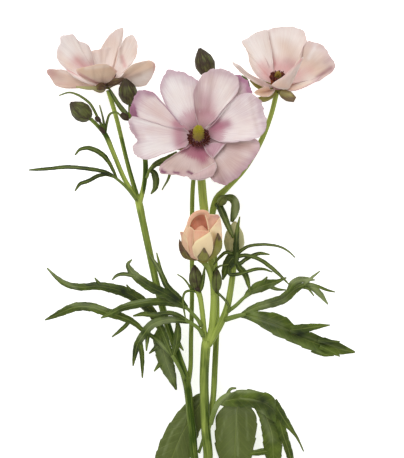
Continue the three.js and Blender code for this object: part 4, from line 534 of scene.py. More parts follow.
# The peach bud. Its back is wrapped from one angle to another, up to a tip, at an offset in
# millimetres. Its front and its front sepals have rows of right, down and millimetres out from it,
# and each sepal starts with how brown and how pale it is
PEACH_BUD = {
    "base": [203.2, 261.2, 36.4],
    "top": [203.4, 215, 42.6],
    "radius": 10.6,
    "profile": table("0 0.25, 0.04 0.44, 0.11 0.7, 0.24 0.95, 0.45 1.03, 0.7 0.93, 0.9 0.8, 1 0.7"),
}
PEACH_BACK = table("165 262 0.93 -0.9, 248 318 0.97 -0.5, 296 378 0.9 -0.9")
PEACH_BACK_SEPALS = table("205 250 0.5 0.7, 285 330 0.5 0.7")
# Light and shade in the front's values and strokes: painted highlights on the petals and painted shade inside
# the opening and under overlapping petals; the light values are partly the petals' own cream
PEACH_FRONT = [
    tables("""
        tan 0.1, pink 0.3, light 0.1, plum 0.08;
        ;
        186.3 226 0, 189 218 0, 193.5 212.6 0, 198 210.4 0, 204 209.8 0, 208 211.5 0, 210 215 0;
        187.9 226.5 0.9, 190.4 219.2 0.9, 194.7 214.4 0.9, 199 212.4 0.9, 204 212 0.9, 207.2 214 0.9,
        209.2 217.2 0.9;
        189.6 227 0, 192 220.5 0, 196 216.4 0, 200 214.6 0, 204 214.4 0, 206.5 216.5 0, 208.5 219.5 0"""),
    tables("""
        pink 0.75;
        light 190 224 197 217 3 0.25, shade 199 219 206 226 3.6 0.45;
        189.2 227 -0.7, 191.6 220.2 -0.7, 196 215.8 -0.7, 200 214 -0.7, 204.5 214 -0.7, 207.4 218 -0.7,
        209.3 224 -0.7;
        190.6 229 -3, 194 223.4 -4, 197.5 220.5 -4.4, 201 219.5 -4.6, 204.5 220 -4.4, 206.5 224 -3.6,
        208.5 228 -3;
        192 232 -4, 195.5 230 -5, 199 229.8 -5.6, 202 229.4 -5.6, 204.5 230 -5.4, 206 231 -5,
        208 233 -4.4"""),
    tables("""
        pink 0.35, light 0.1;
        ;
        194 230.6 -3.4, 198 227.2 -3.4, 201.6 225.6 -3.4, 205 227.6 -3.4, 208 230.6 -3.4;
        193.5 233.5 -1.7, 198 231.5 -1.5, 202 230.6 -1.5, 205 231.5 -1.5, 208.5 233.5 -1.7;
        193.5 237 -1.7, 198 237 -1.7, 202 236.6 -1.7, 205 236.6 -1.7, 208.5 236 -1.7"""),
    tables("""
        pink 0.22, plum 0.16;
        light 204.8 215.6 209.3 229.7 1.5 0.25, shade 207.6 217 211 228 1.6 0.2, plum 216 216 219 217 3 0.4;
        204.7 215.4 0.2, 209 214.2 0.2, 214 214.4 0.2, 218.5 214.9 0.2, 219.8 217.2 0.2;
        206.5 221 -0.2, 209 220 -0.9, 212 219.6 -0.9, 215 220 -0.6, 217.6 220.8 0;
        208.8 231.4 -0.2, 209.6 231 -0.4, 210.6 230.4 -0.4, 211.8 229.4 -0.4, 213 228.2 -0.2"""),
    tables("""
        pink 0.12;
        light 196 243 206 237 3 0.4, pink 196 231 206 232 3 0.25, tan 190 240 193 247 3 0.5;
        191.4 229.6 0, 196 230.2 0, 202 230.4 0, 209.4 231 0;
        190 237 0.3, 195 237.4 0.3, 201 236.6 0.3, 209.6 235 0.3;
        189.4 246 0.2, 193 249 0.2, 199 247 0.2, 209 242 0.2"""),
    tables("""
        tan 0.2, plum 0.14, pink 0.14;
        light 188 228 185 240 2.4 0.4, shade 192.6 231 192.4 247 1.4 0.22, plum 184 236 186.5 250 1.5 0.5;
        186.3 225.4 0.2, 188.8 225.8 0.4, 191.6 227.4 0.5, 194.6 230.6 0.5;
        183.4 233 0.4, 187 233.4 0.6, 190.5 235.4 0.8, 193.6 238.6 0.8;
        182 241 0.4, 185.4 241.6 0.7, 189.4 243.8 0.9, 193 247.6 0.9;
        183.4 252.6 0.3, 187 252.8 0.5, 190.8 253.6 0.7, 194.6 255.4 0.8;
        188 258.6 0.1, 191.6 259.2 0.2, 195.4 259.8 0.3, 199 260.6 0.3"""),
    tables("""
        light 0.2, tan 0.08;
        light 213 228 218 230 4 0.6, tan 213.6 234 217 247 2.6 1, shade 213 238 215 250 2 0.35;
        209.6 230.6 0.6, 213 226.4 0.8, 216.6 221.6 0.8, 220 216.4 0.6;
        211.5 235 0.4, 215 231 0.5, 218.6 227.4 0.5, 221.3 224.5 0.4;
        212.4 243 0.2, 216 241 0.3, 219.4 239.6 0.3, 222 238.6 0.3;
        211.6 253 0, 215 251.6 0, 218 250 0, 220.4 248 0;
        207.6 260 0, 210.2 259.4 0, 212.4 258.2 0, 214.6 256.6 0"""),
    tables("""
        light 0.75;
        light 196 242 208 235 1.2 0.3, tan 197 252 207 255 6 0.25, shade 194 249 197 257 2 0.2;
        192.2 247 1.2, 196 241 1.4, 203 236.4 1.4, 210.3 231.4 1.2;
        193 251 1.2, 198 247 1.4, 205 243.6 1.4, 212.6 240 1.1;
        194.5 256 0.9, 200 254 1, 206 252 1, 213 250 0.8;
        198 259.4 0.3, 202 260 0.3, 206 259.8 0.3, 209.5 258.4 0.3"""),
    tables("""
        tan 0.4, plum 0.15;
        plum 180 231.6 182 234 2 0.5, light 184 235 187 241 2 0.4;
        179.8 231.6 0.9, 182.6 231.8 1, 185.4 233.2 1.1;
        181.2 237.4 0.9, 184.4 238.6 1.1, 187.4 241.4 1.3;
        181.6 246 0.8, 185.6 248 1, 189 250.6 1.3;
        185.6 254.6 0.4, 188.6 255.6 0.6, 191.6 257 0.8"""),
]
PEACH_SEPALS = [
    tables("""0.5 0; 179.2 238.6 1.6, 180 240 1.8, 181.4 242.4 1.8; 178.6 245.4 1.5, 181.8 247.4 1.9,
        185 249 1.9; 180 252.4 1.3, 184.2 253.6 1.7, 188.4 253.6 1.7; 183.8 258 1, 188 258.4 1.2,
        192 257.8 1.3; 190.6 260.4 0.8, 194.4 260.8 0.8, 198.4 260.2 0.8"""),
    tables("""0 0.1; 203.2 248.2 2, 204 247.6 2.1, 205 248.4 2; 200.2 253 1.7, 204 252.2 2, 207.8 253.4 1.7;
        197.4 256.6 1.2, 203.2 257 1.5, 209.4 256.6 1.2; 198.8 260 0.8, 203.2 260.8 0.9, 207.6 260 0.8"""),
    tables("""-0.2 0; 217.6 232.8 1.6, 218.4 233.2 1.7, 219.4 235 1.6; 215.2 240.4 1.4, 219 240 1.7,
        222.2 241 1.4; 213.2 248.4 1.3, 217.6 248.6 1.5, 221.6 248.4 1.3; 211 255 1, 214.6 255.6 1.2,
        218.4 254 1; 206.6 260 0.8, 208.6 260.4 0.8, 211.4 259.6 0.8"""),
]
PEACH_SEPAL_STROKES = table("""
    brown 204 247 205 251 1.6 1.6, 218 233 219 239 1.8 1, 179 239 182 248 2 0.6,
    light 216 248 219 253 2 0.2""")

# Numbers, leans and sizes in millimetres of the stamens and the pistil, and how far down in pixels, how
# sheared and how squashed they stand as seen in the picture
BLOOMS = {
    "front_bloom": {
        "shape": FRONT_BLOOM, "slot": "mauve_petal", "seed": 1,
        "stamen": {"Count": 130, "Inner": 3.4, "Outer": 5.2, "Height": 3.0, "Lean": 0.42},
        "pistil": {"Count": 130, "Radius": 3.0, "Height": 6.5, "Bead": 0.44},
        "stamen_lean": (5.8, 0.1, 0.82), "pistil_lean": (1.6, 0.36, 1.0),
    },
    "left_bloom": {
        "shape": LEFT_BLOOM, "slot": "cream_petal", "seed": 21,
        "stamen": {"Count": 60, "Inner": 1.9, "Outer": 4.0, "Height": 3.0, "Lean": 0.5},
        "pistil": {"Count": 70, "Radius": 1.6, "Height": 4.0, "Bead": 0.3},
        "stamen_lean": (0.0, 0.0, 1.0), "pistil_lean": (0.0, 0.0, 1.0),
    },
    "right_bloom": {
        "shape": RIGHT_BLOOM, "slot": "cream_petal", "seed": 41,
        "stamen": {"Count": 170, "Inner": 1.9, "Outer": 3.7, "Height": 4.8, "Lean": 0.02},
        "pistil": {"Count": 90, "Radius": 2.2, "Height": 8.0, "Bead": 0.34},
        "stamen_lean": (0.0, 0.0, 1.0), "pistil_lean": (0.0, 0.0, 1.0),
    },
}


def rgb(red, green, blue):
    """Screen colour of 0 to 255 as linear values"""
    shares = (red / 255, green / 255, blue / 255)
    return tuple(s / 12.92 if s <= 0.04045 else ((s + 0.055) / 1.055) ** 2.4 for s in shares)


def colour(label, words, screen):
    return FloatVectorProperty(
        name=label, description=words, subtype="COLOR", size=3, min=0.0, max=1.0, default=rgb(*screen)
    )


def amount(label, words, value, **more):
    return FloatProperty(name=label, description=words, default=value, **more)


def length(label, words, metres, low=0.0, high=0.1):
    more = {"min": low, "max": high, "subtype": "DISTANCE", "unit": "LENGTH", "precision": 5}
    return amount(label, words, metres, **more)


class FlowerSettings(bpy.types.PropertyGroup):
    """Sizes and colours of petals, stamens and pistils"""

    petal_thickness: length("Petal thickness", "Thickness of a petal away from its edges", 0.4 * MM)
    cream: colour("Petal cream", "Main colour of the petals", (244, 234, 233))
    blush: colour("Petal blush", "Colour of the blotch at a petal's base", (176, 104, 126))
    haze: colour("Petal haze", "Dusky colour right at a petal's foot", (104, 54, 58))
    mauve: colour("Petal mauve", "Colour of a petal's rim", (172, 122, 148))
    tan: colour("Petal tan", "Colour of a petal's outside", (222, 184, 152))
    coral: colour("Bud coral", "Colour deep inside the peach bud", (202, 100, 70))
    peach: colour("Bud peach", "Main colour of the peach bud", (246, 198, 167))
    bud_cream: colour("Bud cream", "Lightest colour of the peach bud", (252, 234, 184))
    anther: colour("Anther", "Colour of the anthers", (86, 32, 24))
    filament: colour("Filament", "Colour of the stamens' threads", (170, 92, 48))
    pistil: colour("Pistil", "Colour of the pistil's top", (172, 164, 34))
    anther_length: length("Anther length", "Length of one anther", 2.1 * MM)
    anther_width: length("Anther width", "Width of one anther", 0.95 * MM)


class GreenSettings(bpy.types.PropertyGroup):
    """Sizes and colours of stems, leaves, buds and hairs"""

    leaf_thickness: length("Leaf thickness", "Thickness of a leaf away from its edges", 0.4 * MM)
    sepal_thickness: length("Sepal thickness", "Thickness of a sepal away from its edges", 0.5 * MM)
    hair_length: length("Hair length", "Length of the hairs on the stems", 1.4 * MM)
    hair_width: length("Hair width", "Width of a hair at its root", 0.1 * MM)
    hair_density: amount("Hair density", "Hairs on a square metre of the hairiest skin", 1.1e6, min=0.0)
    seed: IntProperty(
        name="Seed", description="Seed of everything that is placed at random", default=11, min=0
    )
    stem_dark: colour("Stem dark", "Colour of the darkest stems", (56, 78, 14))
    stem_light: colour("Stem light", "Colour of the lightest stems", (164, 180, 86))
    leaf_dark: colour("Leaf dark", "Main colour of a leaf's upper face", (38, 54, 8))
    leaf_light: colour("Leaf light", "Lighter patches of a leaf's upper face", (106, 126, 38))
    leaf_vein: colour("Leaf vein", "Colour of a leaf's veins", (128, 142, 66))
    leaf_under: colour("Leaf underside", "Colour of a leaf's lower face", (96, 108, 52))
    sepal_green: colour("Sepal green", "Main colour of the sepals", (134, 130, 46))
    sepal_brown: colour("Sepal brown", "Colour of a sepal's edge and tip", (92, 66, 50))
    bud_green: colour("Bud green", "Lighter colour of the green buds", (114, 126, 60))
    bud_dark: colour("Bud dark", "Darker colour of the green buds", (58, 44, 30))


class StageSettings(bpy.types.PropertyGroup):
    """Floor, lights and camera"""

    floor: colour("Floor", "Colour of the floor", (250, 250, 250))
    floor_size: length("Floor size", "Side of the square floor", 6.0, 0.1, 20.0)
    camera_distance: length("Camera distance", "Height of the camera above the plant", 3.0, 0.5, 20.0)
    focus_height: length("Focus height", "Height at which the picture's scale is exact", 24 * MM)
    key_power: amount("Key light", "Power of the large key light", 12.4, unit="POWER")
    fill_power: amount("Fill light", "Power of the fill light", 2.5, unit="POWER")
    sky: amount("Sky", "Strength of the even light from all round", 0.5, min=0.0)
    floor_glow: amount("Floor glow", "Light that the floor itself gives off", 0.6, min=0.0)


# Points and curves


def place(rows):
    """Rows of right, down, height as metres in the frame; further columns stay as they are"""
    rows = np.array(rows, dtype=float)
    rows[..., 0] = ((rows[..., 0] - PICTURE_ORIGIN[0]) * PIXEL + CENTRE_SHIFT[0]) * MM
    rows[..., 1] = ((PICTURE_ORIGIN[1] - rows[..., 1]) * PIXEL + CENTRE_SHIFT[1]) * MM
    rows[..., 2] *= MM
    return rows


def stations(rows, unit_length=MM):
    """The same with a fourth column, of radii in millimetres or widths in another unit, in metres"""
    placed = place(rows)
    placed[:, 3] *= unit_length
    return placed


def picture(points):
    """Where points of the frame lie in the picture, in pixels right and down"""
    right = (points[..., 0] / MM - CENTRE_SHIFT[0]) / PIXEL + PICTURE_ORIGIN[0]
    down = PICTURE_ORIGIN[1] - (points[..., 1] / MM - CENTRE_SHIFT[1]) / PIXEL
    return np.stack([right, down], axis=-1)


def brush(points, strokes):
    """Soft strokes as values of each point, fading out from the line of each stroke"""
    at = picture(points)
    values = {}
    for key, right, down, to_right, to_down, width, strength in strokes:
        start, step = np.array([right, down]), np.array([to_right - right, to_down - down])
        along = np.clip((at - start) @ step / (step @ step), 0.0, 1.0)
        away = np.linalg.norm(at - start - along[..., None] * step, axis=-1)
        values[key] = values.get(key, 0.0) + strength * np.exp(-((away / width) ** 2))
    return values


def blend(looks, painted):
    """A piece's even values with its strokes added"""
    keys = (looks.keys() | painted.keys()) - {"dent"}
    return {key: looks.get(key, 0.0) + painted.get(key, 0.0) for key in keys}


def travelled(points):
    """How far along a line each of its points is"""
    return np.concatenate([[0.0], np.cumsum(np.linalg.norm(np.diff(points[:, :3], axis=0), axis=1))])


def line_length(points):
    return travelled(points)[-1]


def smooth_line(points, count):
    """A smooth curve through points of any number of columns; the first three set its pace"""
    points = np.asarray(points, dtype=float)
    padded = np.vstack([2 * points[:1] - points[1:2], points, 2 * points[-1:] - points[-2:-1]])
    gaps = np.linalg.norm(np.diff(padded[:, :3], axis=0), axis=1) ** 0.5
    knots = np.concatenate([[0.0], np.cumsum(np.maximum(gaps, 1e-5))])
    at = np.linspace(knots[1], knots[-2], count)
    k = np.clip(np.searchsorted(knots, at, side="right") - 1, 1, len(points) - 1)
    p = [padded[k + i] for i in (-1, 0, 1, 2)]
    t = [knots[k + i][:, None] for i in (-1, 0, 1, 2)]
    at = at[:, None]

    def mix(a, b, low, high):
        return ((high - at) * a + (at - low) * b) / (high - low)

    a = [mix(p[i], p[i + 1], t[i], t[i + 1]) for i in range(3)]
    b = [mix(a[i], a[i + 1], t[i], t[i + 2]) for i in range(2)]
    return mix(b[0], b[1], t[1], t[2])


def even_line(points, count):
    """The same curve with its points evenly spaced"""
    fine = smooth_line(points, 12 * len(points))
    along = travelled(fine)
    at = np.linspace(0.0, along[-1], count)
    return np.stack([np.interp(at, along, fine[:, i]) for i in range(fine.shape[1])], axis=1)


def stepped_line(placed, step, least):
    """The same with a point about every step, and no fewer than the least number"""
    return even_line(placed, max(least, int(line_length(placed) / step)))


def unit(vectors):
    return vectors / np.maximum(np.linalg.norm(vectors, axis=-1, keepdims=True), 1e-12)


def sideways(vector, axis):
    """The direction of a vector without its part along an axis"""
    return unit(vector - axis * np.dot(vector, axis))


def normals(grid):
    return unit(np.cross(np.gradient(grid, axis=1), np.gradient(grid, axis=0)))


def ripple(points, size, seed):
    """Smooth noise of about -1 to 1 at each point; size is that of one bump in metres"""
    flat = points.reshape(-1, 3) / size + seed * 7.31
    return np.array([noise.noise(Vector(p)) for p in flat]).reshape(points.shape[:-1])


def smoothstep(low, high, x):
    t = np.clip((x - low) / (high - low), 0.0, 1.0)
    return t * t * (3 - 2 * t)


# Surfaces


class Surface:
    """Gathers points, faces and per-point values of one piece"""

    def __init__(self):
        self.points = []
        self.faces = []
        self.values = []
        self.count = 0

    def add(self, points, values, *faces):
        self.points.append(points)
        self.faces += [group + self.count for group in faces]
        self.values.append({key: np.broadcast_to(value, (len(points),)) for key, value in values.items()})
        self.count += len(points)

    def paint(self, strokes):
        for points, values in zip(self.points, self.values):
            for key, value in brush(points, strokes).items():
                values[key] = values.get(key, 0.0) + value

    def mesh(self, name):
        mesh = bpy.data.meshes.new(name)
        faces = [tuple(face) for group in self.faces for face in group.tolist()]
        mesh.from_pydata(np.concatenate(self.points).tolist(), [], faces)
        for key in sorted({key for group in self.values for key in group}):
            parts = [group.get(key, np.zeros(len(p))) for group, p in zip(self.values, self.points)]
            layer = mesh.attributes.new(key, "FLOAT", "POINT")
            layer.data.foreach_set("value", np.concatenate(parts).astype(np.float32))
        mesh.polygons.foreach_set("use_smooth", np.ones(len(mesh.polygons), dtype=bool))
        mesh.update()
        return mesh


def add_sheet(surface, grid, thickness, values):
    """A thin closed blade over a grid of points, with thinner edges. Its front faces across x along"""
    rows, columns = grid.shape[:2]
    row, column = np.arange(rows), np.arange(columns)
    inset = np.minimum(np.minimum(row, row[::-1])[:, None], np.minimum(column, column[::-1])[None, :])
    half = normals(grid) * (0.5 * thickness * np.clip(0.3 + 0.35 * inset, 0.0, 1.0))[..., None]
    points = np.concatenate([(grid + half).reshape(-1, 3), (grid - half).reshape(-1, 3)])
    back = rows * columns
    index = np.arange(back).reshape(rows, columns)
    a, b, c, d = index[:-1, :-1], index[:-1, 1:], index[1:, 1:], index[1:, :-1]
    front = np.stack([a, b, c, d], axis=-1).reshape(-1, 4)
    rear = np.stack([a, d, c, b], axis=-1).reshape(-1, 4) + back
    rim = np.concatenate([index[0, :-1], index[:-1, -1], index[-1, :0:-1], index[:0:-1, 0]])
    following = np.roll(rim, -1)
    wall = np.stack([following, rim, rim + back, following + back], axis=-1)
    doubled = {key: np.broadcast_to(value, (rows, columns)).ravel() for key, value in values.items()}
    doubled = {key: np.tile(value, 2) for key, value in doubled.items()}
    doubled["side"] = np.repeat([1.0, 0.0], back)
    surface.add(points, doubled, front, rear, wall)


def add_tube(surface, line, sides, values, ridges=0.0, seed=0):
    """A closed round tube along rows of x, y, z and radius, with a flat cap at each end"""
    path, radii = line[:, :3], line[:, 3]
    tangent = unit(np.gradient(path, axis=0))
    across = np.cross(tangent[0], (0.0, 0.0, 1.0))
    angles = (np.arange(sides) + 0.5) * 2 * math.pi / sides
    swell = 1 + ridges * np.cos(5 * angles + seed)
    rings = []
    for spot, radius, direction in zip(path, radii, tangent):
        across = sideways(across, direction)
        lift = np.cross(across, direction)
        reach = radius * swell
        rings.append(spot + np.outer(reach * np.cos(angles), across) + np.outer(reach * np.sin(angles), lift))
    rows = len(path)
    index = np.arange(rows * sides).reshape(rows, sides)
    after = np.roll(index, -1, axis=1)
    skin = np.stack([index[:-1], after[:-1], after[1:], index[1:]], axis=-1).reshape(-1, 4)
    foot = np.stack([after[0], index[0], np.full(sides, rows * sides)], axis=-1)
    head = np.stack([index[-1], after[-1], np.full(sides, rows * sides + 1)], axis=-1)
    grid = {
        "span": np.repeat(travelled(path) / MM, sides),
        "turn_x": np.tile(np.cos(angles), rows),
        "turn_y": np.tile(np.sin(angles), rows),
    }
    grid |= {key: np.repeat(np.broadcast_to(value, (rows,)), sides) for key, value in values.items()}
    pads = {key: np.concatenate([value, value[[0, -1]]]) for key, value in grid.items()}
    surface.add(np.concatenate([*rings, path[[0, -1]]]), pads, skin, foot, head)


def add_body(surface, base, top, profile, radius, count, sides, values, ridges=0.0):
    """A closed round body between two points: a profile has shares of the way and of the radius"""
    line = [[*(base + (top - base) * share), radius * reach] for share, reach in profile]
    add_tube(surface, smooth_line(line, count), sides, values, ridges)


def add_lobe(surface, placed, thickness, seed, values, fold=0.12, wave=0.12, teeth=0.0, columns=9):
    """A leaf lobe along rows of x, y, z and width: folded along its middle, with drooping edges"""
    line = stepped_line(placed, 0.9 * MM, 8)
    centre, half = line[:, :3], np.maximum(line[:, 3], 0.35 * MM) / 2
    tangent = unit(np.gradient(centre, axis=0))
    across = unit(np.stack([tangent[:, 1], -tangent[:, 0], 0 * half], axis=1))
    lift = unit(np.cross(across, tangent))
    lift *= np.sign(lift[:, 2:3] + 1e-9)
    x = np.linspace(-1, 1, columns)
    span = travelled(centre)
    ragged = 1 + 0.07 * ripple(centre, 3.5 * MM, seed)
    saw = 1 - (span / (5.2 * MM) + 0.5 * (x[:, None] > 0) + seed * 0.37) % 1.0
    jagged = 1 + teeth * smoothstep(0.6, 1.0, np.abs(x)) * (saw.T * 1.5 - 0.6)
    width = (half * ragged)[:, None] * x * jagged
    height = half[:, None] * (fold * np.abs(x) ** 0.8 - (fold + 0.18) * x**2)
    sway = np.sin(span / (5.5 * MM) * 2 + seed)[:, None] * np.sign(x)
    height = height + wave * half[:, None] * np.abs(x) ** 1.5 * sway
    grid = centre[:, None] + across[:, None] * width[..., None] + lift[:, None] * height[..., None]
    looks = {"across": x, "off": np.abs(width) / MM, "span": span[:, None] / MM, "tone": 0.4}
    add_sheet(surface, grid, thickness, looks | values)


def add_blade(surface, blade, thickness, seed, tone, rows=60, columns=25):
    """A broad leaf blade between an upper and a lower edge, arched by its keel"""
    ((keel, cut),), *edges = blade
    upper, lower = (even_line(place(edge), rows) for edge in edges)
    x = np.linspace(-1, 1, columns)
    share = ((x + 1) / 2)[:, None]
    grid = upper[:, None] * (1 - share) + lower[:, None] * share
    ends = np.sin(np.linspace(0, math.pi, rows))[:, None]
    width = np.linalg.norm(upper - lower, axis=1)[:, None]
    grid[..., 2] += keel * MM * ends * (1 - x**2)
    along = np.linspace(0, line_length((upper + lower) / 2) / MM, rows)[:, None]
    off = np.abs(x) * width / 2 / MM
    ribs = np.sin((along * 0.9 - off * 0.9) * 1.15)
    grid[..., 2] += (0.12 * ribs * np.minimum(off / 2, 1) - 0.35 * np.exp(-((off / 0.7) ** 2))) * ends * MM
    grid[..., 2] += 0.5 * MM * ripple(grid, 9 * MM, seed) * ends
    saw = 1 - (along / 8.0 + 0.5 * (x > 0) + 0.3 * ripple(upper, 9 * MM, seed)[:, None]) % 1.0
    jag = cut * (saw * 1.6 - 0.8) * smoothstep(0.6, 1.0, np.abs(x)) * np.sign(x) * ends
    grid += unit(lower - upper)[:, None] * (jag * MM)[..., None]
    add_sheet(surface, grid, thickness, {"across": x, "off": off, "span": along, "tone": tone})


def frame_of(bloom):
    """A bloom's centre, axis and two directions across it"""
    axis = unit(np.array(bloom["axis"], dtype=float))
    across = sideways(RIGHT, axis)
    return place([bloom["centre"]])[0], axis, across, np.cross(axis, across)


def bowl_rim(bloom, lift, rim):
    """The front bloom's rim heights: a shallow bowl that leans with its axis"""
    centre = place([bloom["centre"]])[0]
    rim = place([[right, down, 0] for right, down in rim])
    away = (rim[:, :2] - centre[:2]) / MM
    share = np.linalg.norm(away, axis=1) / BLOOM_RADIUS
    height = bloom["centre"][2] - bloom["lean"] * away[:, 1] + bloom["cup"] * share**1.4 + lift
    rim[:, 2] = height * MM
    return rim


def add_petal(surface, bloom, petal, looks, thickness, seed, rows=34, columns=81):
    """A petal that opens like a fan from its foot to its rim, with waves, creases and a frilly rim"""
    centre, axis, _, _ = frame_of(bloom)
    (blush, tan, mauve, waves, height, phase), *strokes = looks
    head, *rim = petal
    rim, bulge = (place(rim), head) if len(head) == 3 else (bowl_rim(bloom, head[0], rim), [0, 0, 0])
    rim = even_line(rim, columns)
    away = sideways(rim[columns // 2] - centre, axis)
    foot = centre + away * bloom["receptacle_radius"] * MM * 0.5 - axis * 0.5 * MM
    share = np.linspace(0.03, 1.0, rows)[:, None] ** 0.8
    v = np.linspace(0.0, 1.0, columns)
    grid = foot + (rim - foot) * share[..., None]
    bow = (4 * share * (1 - share))[..., None]
    grid = grid + (np.array(bulge) * 0.5 - axis * bloom.get("hollow", 0.0)) * MM * bow
    window = np.sin(math.pi * v) ** 0.6
    swell = np.sin(2 * math.pi * waves * v + phase) * window
    creases = 0.07 * np.sin(2 * math.pi * 11 * v + 4 * ripple(rim, 7 * MM, seed))
    ruffle = (0.45 * ripple(rim, 4.5 * MM, seed + 3) + 0.25 * ripple(rim, 1.8 * MM, seed + 4)) * window
    painted = brush(grid, strokes)
    push = share**1.4 * (height * swell + creases) + smoothstep(0.7, 1.0, share) * ruffle
    push = push + painted.get("dent", 0.0)
    grid = grid + normals(grid) * (push * MM)[..., None]
    frill = 0.03 * ripple(rim, 3.4 * MM, seed + 5) + 0.024 * ripple(rim, 1.4 * MM, seed + 6)
    grid += (grid - foot) * (smoothstep(0.55, 1.0, share) * frill * bloom.get("frill", 0.45))[..., None]
    width = line_length(rim) / MM
    values = {
        "reach": np.linalg.norm(grid - centre, axis=2) / (BLOOM_RADIUS * MM),
        "share": share,
        "streak": v * width + seed * STREAK_SHIFT,
        "flow": share * 30,
        # painted light along the petal's side edges and rim
        "border": smoothstep(0.55, 0.0, np.minimum(v, 1 - v) * width * share),
    }
    add_sheet(surface, grid, thickness, values | blend({"blush": blush, "tan": tan, "mauve": mauve}, painted))


def loft(rows, down_count, across_count):
    """A smooth grid through rows of points"""
    lines = np.stack([smooth_line(row, across_count) for row in rows])
    return np.stack([smooth_line(lines[:, i], down_count) for i in range(across_count)], axis=1)


def add_patch(surface, grid, thickness, look, strokes, seed):
    """A lofted part of a petal or sepal; its front faces up"""
    rows, columns = grid.shape[:2]
    facing = np.cross(grid[1:, :-1] - grid[:-1, :-1], grid[:-1, 1:] - grid[:-1, :-1])[..., 2].mean()
    if facing > 0:
        grid = grid[:, ::-1]
    painted = brush(grid, strokes)
    dent = painted.get("dent", 0.0) + 0.12 * ripple(grid, 3 * MM, seed)
    grid = grid + normals(grid) * dent[..., None] * MM
    v = np.linspace(0.0, 1.0, columns)
    u = np.linspace(0.0, 1.0, rows)[:, None]
    width = line_length(grid[rows // 2]) / MM
    height = line_length(grid[:, columns // 2]) / MM
    inset = np.minimum(np.minimum(v, 1 - v) * width, np.minimum(u, 1 - u) * height)
    values = {
        "streak": v * width + seed * STREAK_SHIFT,
        "flow": u * height,
        "reach": 0.6,
        "across": 2 * v - 1,
        "off": np.abs(2 * v - 1) * width / 2,
        "span": u * height,
        "tone": 0.5,
        # painted light along the patch's edges
        "border": smoothstep(0.6, 0.0, inset),
    }
    add_sheet(surface, grid, thickness, values | blend({"share": 0.4} | look, painted))


def body_radius(profile, share):
    return np.interp(share, *np.transpose(profile))


def add_wrap(
    surface, body, wrap, thickness, seed, values, taper=0.0, drop=0.3, edge=0.0, rows=16, columns=15
):
    """A petal or sepal wrapped round a body, from one angle to another and up to its tip"""
    base, top, profile, radius = body
    start, end, tip, offset = wrap
    axis = unit(top - base)
    across = sideways(RIGHT, axis)
    lift = np.cross(across, axis)
    u = np.linspace(0, 1, rows)[:, None]
    side = np.linspace(-1, 1, columns)
    middle, half = np.radians((start + end) / 2), np.radians((end - start) / 2)
    angle = middle + half * side * (1 - taper * u**1.6)
    share = WRAP_FOOT + (tip - WRAP_FOOT) * u * (1 - drop * side**4 * u)
    reach = radius * body_radius(profile, share) + (offset + edge * side**4) * MM
    reach = reach + 0.12 * MM * np.sin(side * 9 + seed) * u
    spot = base + across * (reach * np.cos(angle))[..., None] + lift * (reach * np.sin(angle))[..., None]
    spot = spot + (top - base) * share[..., None]
    looks = {
        "across": side,
        "off": np.abs(side) * reach / MM,
        "share": u,
        "span": u * 14,
        "streak": side * 5 + seed * STREAK_SHIFT,
        "flow": u * 12,
        "reach": u,
        "tone": 0.5 + 0.5 * math.sin(seed * 12.9898),
    }
    add_sheet(surface, spot, thickness, looks | values)


# Node helpers


class Graph:
    """A node tree under construction"""

    def __init__(self, tree):
        self.tree = tree

    def node(self, kind, inputs=None, **settings):
        """A node whose inputs are given by name or number, as values or as other sockets"""
        made = self.tree.nodes.new(kind)
        for key, value in settings.items():
            setattr(made, key, value)
        for key, value in (inputs or {}).items():
            if isinstance(value, bpy.types.NodeSocket):
                self.tree.links.new(value, made.inputs[key])
            else:
                made.inputs[key].default_value = value
        return made

    def math(self, operation, *values, clamp=False):
        inputs = dict(enumerate(values))
        return self.node("ShaderNodeMath", inputs, operation=operation, use_clamp=clamp).outputs[0]

    def times(self, first, second, clamp=False):
        return self.math("MULTIPLY", first, second, clamp=clamp)

    def plus(self, first, second, clamp=False):
        return self.math("ADD", first, second, clamp=clamp)

    def minus(self, first, second):
        return self.math("SUBTRACT", first, second)

    def swing(self, grain, amount):
        """Noise round one half as a swing round nought"""
        return self.times(self.minus(grain, 0.5), amount)

    def ramp(self, value, low, high, start=0.0, end=1.0):
        """A soft step from start to end between two limits"""
        inputs = dict(enumerate((value, low, high, start, end)))
        return self.node("ShaderNodeMapRange", inputs, interpolation_type="SMOOTHSTEP").outputs[0]

    def attribute(self, name):
        return self.node("ShaderNodeAttribute", attribute_name=name).outputs["Fac"]

    def mix(self, share, first, second, blend="MIX"):
        first, second = (c if isinstance(c, bpy.types.NodeSocket) else (*c, 1.0) for c in (first, second))
        inputs = {0: share, 6: first, 7: second}
        return self.node("ShaderNodeMix", inputs, data_type="RGBA", blend_type=blend).outputs[2]

    def tinted(self, base, name, amount, tint, blend="MIX"):
        """A colour changed as far as the surface's value of that name says"""
        return self.mix(self.times(self.attribute(name), amount, clamp=True), base, tint, blend)

    def vector(self, x, y, z=0.0):
        return self.node("ShaderNodeCombineXYZ", {0: x, 1: y, 2: z}).outputs[0]

    def noise(self, vector, scale, detail=3.0, roughness=0.5):
        inputs = {"Vector": vector, "Scale": scale, "Detail": detail, "Roughness": roughness}
        return self.node("ShaderNodeTexNoise", inputs).outputs["Fac"]

    def place(self):
        return self.node("ShaderNodeTexCoord").outputs["Object"]


